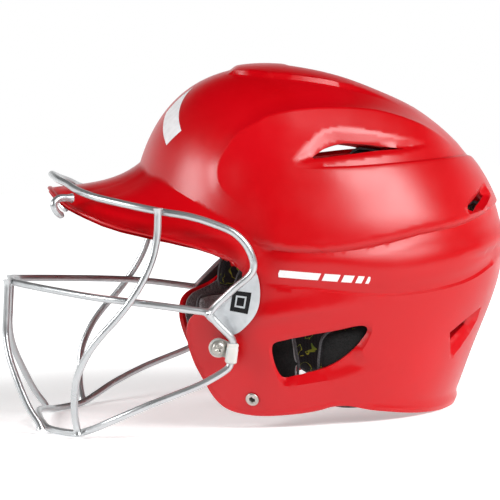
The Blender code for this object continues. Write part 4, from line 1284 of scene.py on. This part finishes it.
def washer_profile(near):
    far = near + WASHER_T
    return [
        (near, WASHER_BORE_R), (near, WASHER_R - 0.2), (near + 0.2, WASHER_R), (near + 0.6, WASHER_R),
        (far, WASHER_R - 0.25), (far, WASHER_BORE_R),
    ]


def nut_profile(far):
    """A barrel nut with its flange against the inside of the shell."""
    bore, end, flange = SHANK_R + PLAY, far - NUT_LENGTH, far - NUT_FLANGE_T
    return [
        (end, bore), (end, NUT_BARREL_R - 0.3), (end + 0.3, NUT_BARREL_R), (flange - 0.4, NUT_BARREL_R),
        (flange, NUT_BARREL_R + 0.4), (flange, NUT_FLANGE_R - 0.2), (far - 0.9, NUT_FLANGE_R),
        (far, NUT_FLANGE_R), (far, bore),
    ]


def eyelet_profile():
    """A tube through the flap that is rolled over outside it."""
    inner = -WALL - 0.8
    roll = [(0.55 + 0.85 * math.sin(t), 3.1 - 1.3 * math.cos(t)) for t in np.radians(range(0, 181, 20))]
    return [(inner, EYELET_BORE_R), (inner, 2.9), (PLAY, 2.9), (PLAY, EYELET_FLANGE_R - 0.2), *roll[::-1]]


def build_hardware(metal, white):
    inside = map_to_space(side_to_map([SCREW]))[0, 0] - WALL
    q = side_to_map([EYELET])
    for prefix, right in (("left", False), ("right", True)):
        side = -1.0 if right else 1.0
        axis, origin = (side, 0.0, 0.0), (0.0, *SCREW)
        place(clip_mesh(f"{prefix}_nylon_clip", white, right), "face_guard", "nylon", f"{prefix}_wire_clip")
        place(screw_mesh(f"{prefix}_cross_screw", metal, right), "helmet", "steel", f"{prefix}_screw")
        profile = washer_profile(CLIP_TOP_X + PLAY)
        made = lathe_mesh(f"{prefix}_flat_washer", profile, origin, axis, metal, closed=True)
        place(made, "helmet", "steel", f"{prefix}_washer")
        profile = nut_profile(inside - NUT_GAP)
        made = lathe_mesh(f"{prefix}_barrel_nut", profile, origin, axis, metal, closed=True)
        place(made, "helmet", "steel", f"{prefix}_t_nut")
        at, normal = map_to_space(q)[0] * [side, 1, 1], map_normals(q)[0] * [side, 1, 1]
        made = lathe_mesh(f"{prefix}_rolled_eyelet", eyelet_profile(), at, normal, metal, closed=True)
        place(made, "helmet", "steel", f"{prefix}_strap_eyelet")


def build_plates(coat, back, ink):
    for prefix, right in (("left", False), ("right", True)):
        made = plate_mesh(f"{prefix}_cover_plate", coat, back, right)
        place(made, "face_guard", "silver_wire", f"{prefix}_side_plate")
        place(mark_mesh(f"{prefix}_plate_mark", ink, right), "face_guard", "silver_wire")


def build_marks(ink):
    place(chevron_mesh(ink), "helmet", "red_shell")
    for prefix, right in (("left", False), ("right", True)):
        place(stripe_mesh(f"{prefix}_side_stripe", ink, right), "helmet", "red_shell")


# ---------------------------------------------------------------- padding
CUSHION_VOXEL, CUSHION_SWELL = 3.4, 4.5
CLOTH_FRAMES = 20
CLOTH_SETTINGS = {
    "quality": 6,
    "mass": 0.25,
    "tension_stiffness": 12.0,
    "compression_stiffness": 12.0,
    "bending_stiffness": 0.35,
    "use_pressure": True,
    "uniform_pressure_force": 4.0,
}


def flat_cushion(width, height, thickness):
    """A cushion lying flat, blown up by cloth simulation; returns points in millimetres and faces."""
    columns, rows, layers = 16, 12, 3
    points = []
    for w in np.linspace(0, 1, layers + 1):
        for u in np.linspace(-1, 1, columns + 1):
            for v in np.linspace(-1, 1, rows + 1):
                pull = 1 - 0.13 * (u * v) ** 2 - 0.04 * (2 * w - 1) ** 2
                x, y = 0.5 * (width - 3) * u * pull, 0.5 * (height - 3) * v * pull
                points.append((x, y, 0.6 + (thickness - 2.2) * w))
    sheet_size = (columns + 1) * (rows + 1)

    def index(i, j, k):
        return k * sheet_size + i * (rows + 1) + j

    faces = []
    for i in range(columns):
        for j in range(rows):
            for k in (0, layers):
                faces.append((index(i, j, k), index(i + 1, j, k), index(i + 1, j + 1, k), index(i, j + 1, k)))
    for k in range(layers):
        for i in range(columns):
            for j in (0, rows):
                faces.append((index(i, j, k), index(i + 1, j, k), index(i + 1, j, k + 1), index(i, j, k + 1)))
        for j in range(rows):
            for i in (0, columns):
                faces.append((index(i, j, k), index(i, j + 1, k), index(i, j + 1, k + 1), index(i, j, k + 1)))
    made = new_mesh("cushion_blank", points, faces, None)
    remesh = made.modifiers.new("even mesh", "REMESH")
    remesh.mode = "VOXEL"
    remesh.voxel_size = CUSHION_VOXEL * MM
    apply_modifiers(made)
    rest = mesh_points(made)
    inflate(made)
    blown = mesh_points(made)
    move = blown - rest
    far = np.linalg.norm(move, axis=1, keepdims=True)
    blown = rest + move * np.minimum(1, CUSHION_SWELL / np.maximum(far, 1e-6))
    blown[:, 2] = np.clip(blown[:, 2], 0.0, thickness + 1.0)
    faces = [tuple(p.vertices) for p in made.data.polygons]
    bpy.data.objects.remove(made)
    return blown, faces


def mesh_points(made):
    found = np.empty(len(made.data.vertices) * 3, np.float32)
    made.data.vertices.foreach_get("co", found)
    return found.reshape(-1, 3).astype(float) / MM


def inflate(made):
    """Runs the cloth simulation on a closed mesh under inner pressure and keeps the result."""
    scene = bpy.context.scene
    cloth = made.modifiers.new("cloth", "CLOTH")
    for key, value in CLOTH_SETTINGS.items():
        setattr(cloth.settings, key, value)
    cloth.settings.effector_weights.gravity = 0.0
    cloth.point_cache.frame_start = 1
    cloth.point_cache.frame_end = CLOTH_FRAMES
    for number in range(1, CLOTH_FRAMES + 1):
        scene.frame_set(number)
    apply_modifiers(made)
    scene.frame_set(1)


def middle_place(first, last, half_turn):
    """Where a pad across the plane of symmetry lies: shares (n, 2) of the pad to map points."""

    def where(share):
        angle = np.radians(first + (last - first) * share[:, 0])
        turn = math.pi / 2 + half_turn * (2 * share[:, 1] - 1)
        return MAP_RADIUS * turn[:, None] * np.stack([np.cos(angle), np.sin(angle)], axis=1)

    return where


def side_place(corners):
    """Where a pad on the side lies, between four side-view corners."""
    a, b, c, d = side_to_map(corners)

    def where(share):
        u, v = share[:, :1], share[:, 1:]
        return a * (1 - u) * (1 - v) + b * u * (1 - v) + c * u * v + d * (1 - u) * v

    return where


def pad_size(where):
    """Width and height of a pad's place, measured along its middle lines."""
    t = np.linspace(0, 1, 40)
    half = np.full(40, 0.5)
    sizes = []
    for share in (np.stack([t, half], axis=1), np.stack([half, t], axis=1)):
        line = map_to_space(where(share))
        sizes.append(np.linalg.norm(np.diff(line, axis=0), axis=1).sum())
    return sizes


def wrapped(flat, where, width, height, gap):
    """Points of the flat cushion laid against the inside of the shell."""
    q = where(flat[:, :2] / [width, height] + 0.5)
    return map_to_space(q) - map_normals(q) * (WALL + gap + flat[:, 2])[:, None]


def border(flat, thickness, out):
    """A loop just outside the widest line of the flat cushion."""
    angle = np.arctan2(flat[:, 1], flat[:, 0])
    reach = np.hypot(flat[:, 0], flat[:, 1])
    turn = np.linspace(-math.pi, math.pi, 72, endpoint=False)
    loop = []
    for t in turn:
        off = np.abs((angle - t + math.pi) % (2 * math.pi) - math.pi)
        loop.append(reach[off < max(0.09, np.sort(off)[12])].max() + out)
    loop = np.array(loop)
    loop = (np.roll(loop, 1) + 2 * loop + np.roll(loop, -1)) / 4
    return np.stack([loop * np.cos(turn), loop * np.sin(turn), np.full(72, 0.42 * thickness)], axis=1)


def sewn(flat, seams, width, height, thickness):
    """Presses stitched channels into the inner face; each seam is a line of shares of the pad."""
    share = flat[:, :2] / [width, height] + 0.5
    inner = smooth((flat[:, 2] - 0.35 * thickness) / (0.4 * thickness))
    for seam in seams:
        line = (smooth_path(seam, 0.02) - 0.5) * [width, height]
        d = distance_to((share - 0.5) * [width, height], line)[0]
        flat[:, 2] -= inner * 2.6 * np.exp(-((d / 2.4) ** 2))
    return flat


def build_pad(node, where, thickness, materials, gap=PAD_GAP, seams=(), twin=None):
    """A cushion, its piping and its mirror image on the other side when it has one."""
    face_cloth, backing, piping = materials
    width, height = pad_size(where)
    flat, faces = flat_cushion(width, height, thickness)
    flat = sewn(flat, seams, width, height, thickness)
    edge = border(flat, thickness, 0.1)
    points = wrapped(flat, where, width, height, gap)
    rope = resampled(np.vstack([edge, edge[:1]]), 2.0)[:-1]
    rope = wrapped(rope, where, width, height, gap)
    for name, turn in ((node, np.array), (twin, mirrored)):
        if name is None:
            continue
        made = new_mesh(f"{name}_cushion", turn(points), faces, face_cloth)
        made.data.materials.append(backing)
        lows = np.array([flat[list(face), 2].mean() < 0.3 * thickness for face in faces], dtype=np.int32)
        if len(lows) == len(made.data.polygons):
            made.data.polygons.foreach_set("material_index", lows)
        rounder = made.modifiers.new("rounder", "SUBSURF")
        rounder.levels = rounder.render_levels = 1
        place(made, "helmet", "felt" if "cheek" in node else "foam", name)
        rings = closed_tube(turn(rope), PIPING_R, PIPING_SIDES)
        cord = new_mesh(f"{name}_piping", np.vstack(rings), loop_faces(len(rings), PIPING_SIDES), piping)
        place(cord, "helmet", "foam")


def closed_tube(loop, radius, sides):
    """Rings round a closed loop, their axes taken from the loop's own middle."""
    tangent = np.roll(loop, -1, axis=0) - np.roll(loop, 1, axis=0)
    tangent /= np.linalg.norm(tangent, axis=1, keepdims=True)
    outward = loop - loop.mean(axis=0)
    outward -= tangent * (outward * tangent).sum(axis=1, keepdims=True)
    outward /= np.linalg.norm(outward, axis=1, keepdims=True)
    up = np.cross(tangent, outward)
    turn = np.arange(sides) * 2 * math.pi / sides
    across, along = np.cos(turn)[:, None], np.sin(turn)[:, None]
    return [p + radius * (across * a + along * b) for p, a, b in zip(loop, outward, up)]


def lining_mesh(name, material, right):
    """A thin felt sheet stuck to the inside of an ear flap along its front edge."""
    q, triangles, loop = filled(side_to_map(FLAP_LINING), 2.5)
    surface, normal = map_to_space(q), map_normals(q)
    low = surface - normal * (WALL + LINING_GAP + LINING_THICKNESS)
    high = surface - normal * (WALL + LINING_GAP)
    return sheet_mesh(name, (q, triangles, loop), low, high, material, right)


def build_padding():
    lining, foam, felt = black_fabric(), black_foam(), grey_felt()
    piping = piping_cloth()
    black = (lining, foam, piping)
    cross = [[(0.5, 0.02), (0.5, 0.5), (0.5, 0.98)]]
    thirds = [[(0.02, t), (0.5, t), (0.98, t)] for t in (0.25, 0.5, 0.75)]
    build_pad("front_pad", middle_place(146, 121, 0.62), 11.0, black, seams=thirds)
    build_pad("crown_pad", middle_place(108, 62, 0.30), 9.0, black, seams=cross)
    build_pad("rear_pad", middle_place(16, -28, 0.50), 11.0, black, seams=thirds)
    build_pad("left_temple_pad", side_place(TEMPLE_CORNERS), 12.0, black, twin="right_temple_pad")
    build_pad("left_upper_pad", side_place(UPPER_CORNERS), 9.0, black, twin="right_upper_pad")
    build_pad("left_side_pad", side_place(SIDE_CORNERS), 9.0, black, twin="right_side_pad")
    for prefix, right in (("left", False), ("right", True)):
        place(lining_mesh(f"{prefix}_flap_lining", felt, right), "helmet", "felt")
    grey = (felt, foam, piping)
    build_pad("left_cheek_pad", side_place(CHEEK_CORNERS), 9.0, grey, gap=CHEEK_GAP, twin="right_cheek_pad")
    build_pad("left_ear_pad", side_place(EAR_CORNERS), 11.0, black, twin="right_ear_pad")


# ---------------------------------------------------------------- camera, light and floor
LIGHT_AIM = (0.0, 0.0, 0.12)
# name, place, width, height, power
SOFTBOXES = [
    ("right_softbox", (1.05, 0.95, 1.05), 0.95, 0.75, 34.0),
    ("front_softbox", (0.35, -1.55, 0.80), 0.8, 0.6, 19.0),
]
FLOOR_HALF_SIZE = 6.0
CAMERA_TARGET = Vector((0.0, -0.00096, 0.11044))
CAMERA_DISTANCE, CAMERA_LENS = 1.300, 135.65
CAMERA_AZIMUTH, CAMERA_ELEVATION, CAMERA_ROLL = np.radians([86.2, 3.6, -3.265]).tolist()


def place_camera():
    az, el, roll = CAMERA_AZIMUTH, CAMERA_ELEVATION, CAMERA_ROLL
    back = Vector((math.sin(az) * math.cos(el), -math.cos(az) * math.cos(el), math.sin(el)))
    right0 = Vector((math.cos(az), math.sin(az), 0.0))
    up0 = back.cross(right0)
    right = right0 * math.cos(roll) + up0 * math.sin(roll)
    up = up0 * math.cos(roll) - right0 * math.sin(roll)
    data = bpy.data.cameras.new("camera")
    data.lens = CAMERA_LENS
    data.sensor_width = 36.0
    camera = bpy.data.objects.new("camera", data)
    bpy.context.scene.collection.objects.link(camera)
    turn = Matrix((right, up, back)).transposed().to_4x4()
    camera.matrix_world = Matrix.Translation(CAMERA_TARGET + back * CAMERA_DISTANCE) @ turn
    bpy.context.scene.camera = camera


def softbox(name, place, width, height, power):
    """A rectangular light aimed at the middle of the helmet."""
    data = bpy.data.lights.new(name, "AREA")
    data.energy = power
    data.shape = "RECTANGLE"
    data.size, data.size_y = width, height
    made = bpy.data.objects.new(name, data)
    made.location = place
    made.rotation_euler = (Vector(place) - Vector(LIGHT_AIM)).to_track_quat("Z", "Y").to_euler()
    bpy.context.scene.collection.objects.link(made)


def studio_world():
    """Lights from behind the object, up to about thirty degrees, and is seen as white all round."""
    world = bpy.data.worlds.new("studio")
    world.use_nodes = True
    tree = world.node_tree
    background = tree.nodes["Background"]
    place = tree.nodes.new("ShaderNodeTexCoord")
    parts = tree.nodes.new("ShaderNodeSeparateXYZ")
    tree.links.new(place.outputs["Generated"], parts.inputs["Vector"])
    levels = []
    for socket, start, end in (("X", 0.10, -0.40), ("Z", 0.55, 0.25)):
        ramp = tree.nodes.new("ShaderNodeMapRange")
        ramp.interpolation_type = "SMOOTHSTEP"
        ramp.inputs["From Min"].default_value = start
        ramp.inputs["From Max"].default_value = end
        tree.links.new(parts.outputs[socket], ramp.inputs["Value"])
        levels.append(ramp.outputs["Result"])
    both = tree.nodes.new("ShaderNodeMath")
    both.operation = "MULTIPLY"
    tree.links.new(levels[0], both.inputs[0])
    tree.links.new(levels[1], both.inputs[1])
    seen = tree.nodes.new("ShaderNodeMath")
    seen.operation = "MAXIMUM"
    tree.links.new(both.outputs["Value"], seen.inputs[0])
    tree.links.new(tree.nodes.new("ShaderNodeLightPath").outputs["Is Camera Ray"], seen.inputs[1])
    tree.links.new(seen.outputs["Value"], background.inputs["Strength"])
    background.inputs["Color"].default_value = (1.0, 1.0, 1.0, 1.0)
    return world


def build_studio():
    scene = bpy.context.scene
    scene.view_settings.view_transform = "Standard"
    scene.view_settings.look = "None"
    scene.world = studio_world()
    for light in SOFTBOXES:
        softbox(*light)
    size = FLOOR_HALF_SIZE
    corners = [(-size, -size, 0.0), (size, -size, 0.0), (size, size, 0.0), (-size, size, 0.0)]
    mesh = bpy.data.meshes.new("floor")
    mesh.from_pydata(corners, [], [(0, 1, 2, 3)])
    floor = bpy.data.objects.new("floor", mesh)
    scene.collection.objects.link(floor)
    mesh.materials.append(studio_white())


place_camera()
build_studio()
build_shell(red_plastic())
build_wires(coat("silver_paint"))
# the plates' backs get a dark grey that is painted shade
build_plates(coat("silver_paint_on_sheet"), coat("painted_shade_grey"), coat("black_print"))
build_hardware(steel(), coat("white_nylon"))
build_marks(coat("white_print"))
build_padding()
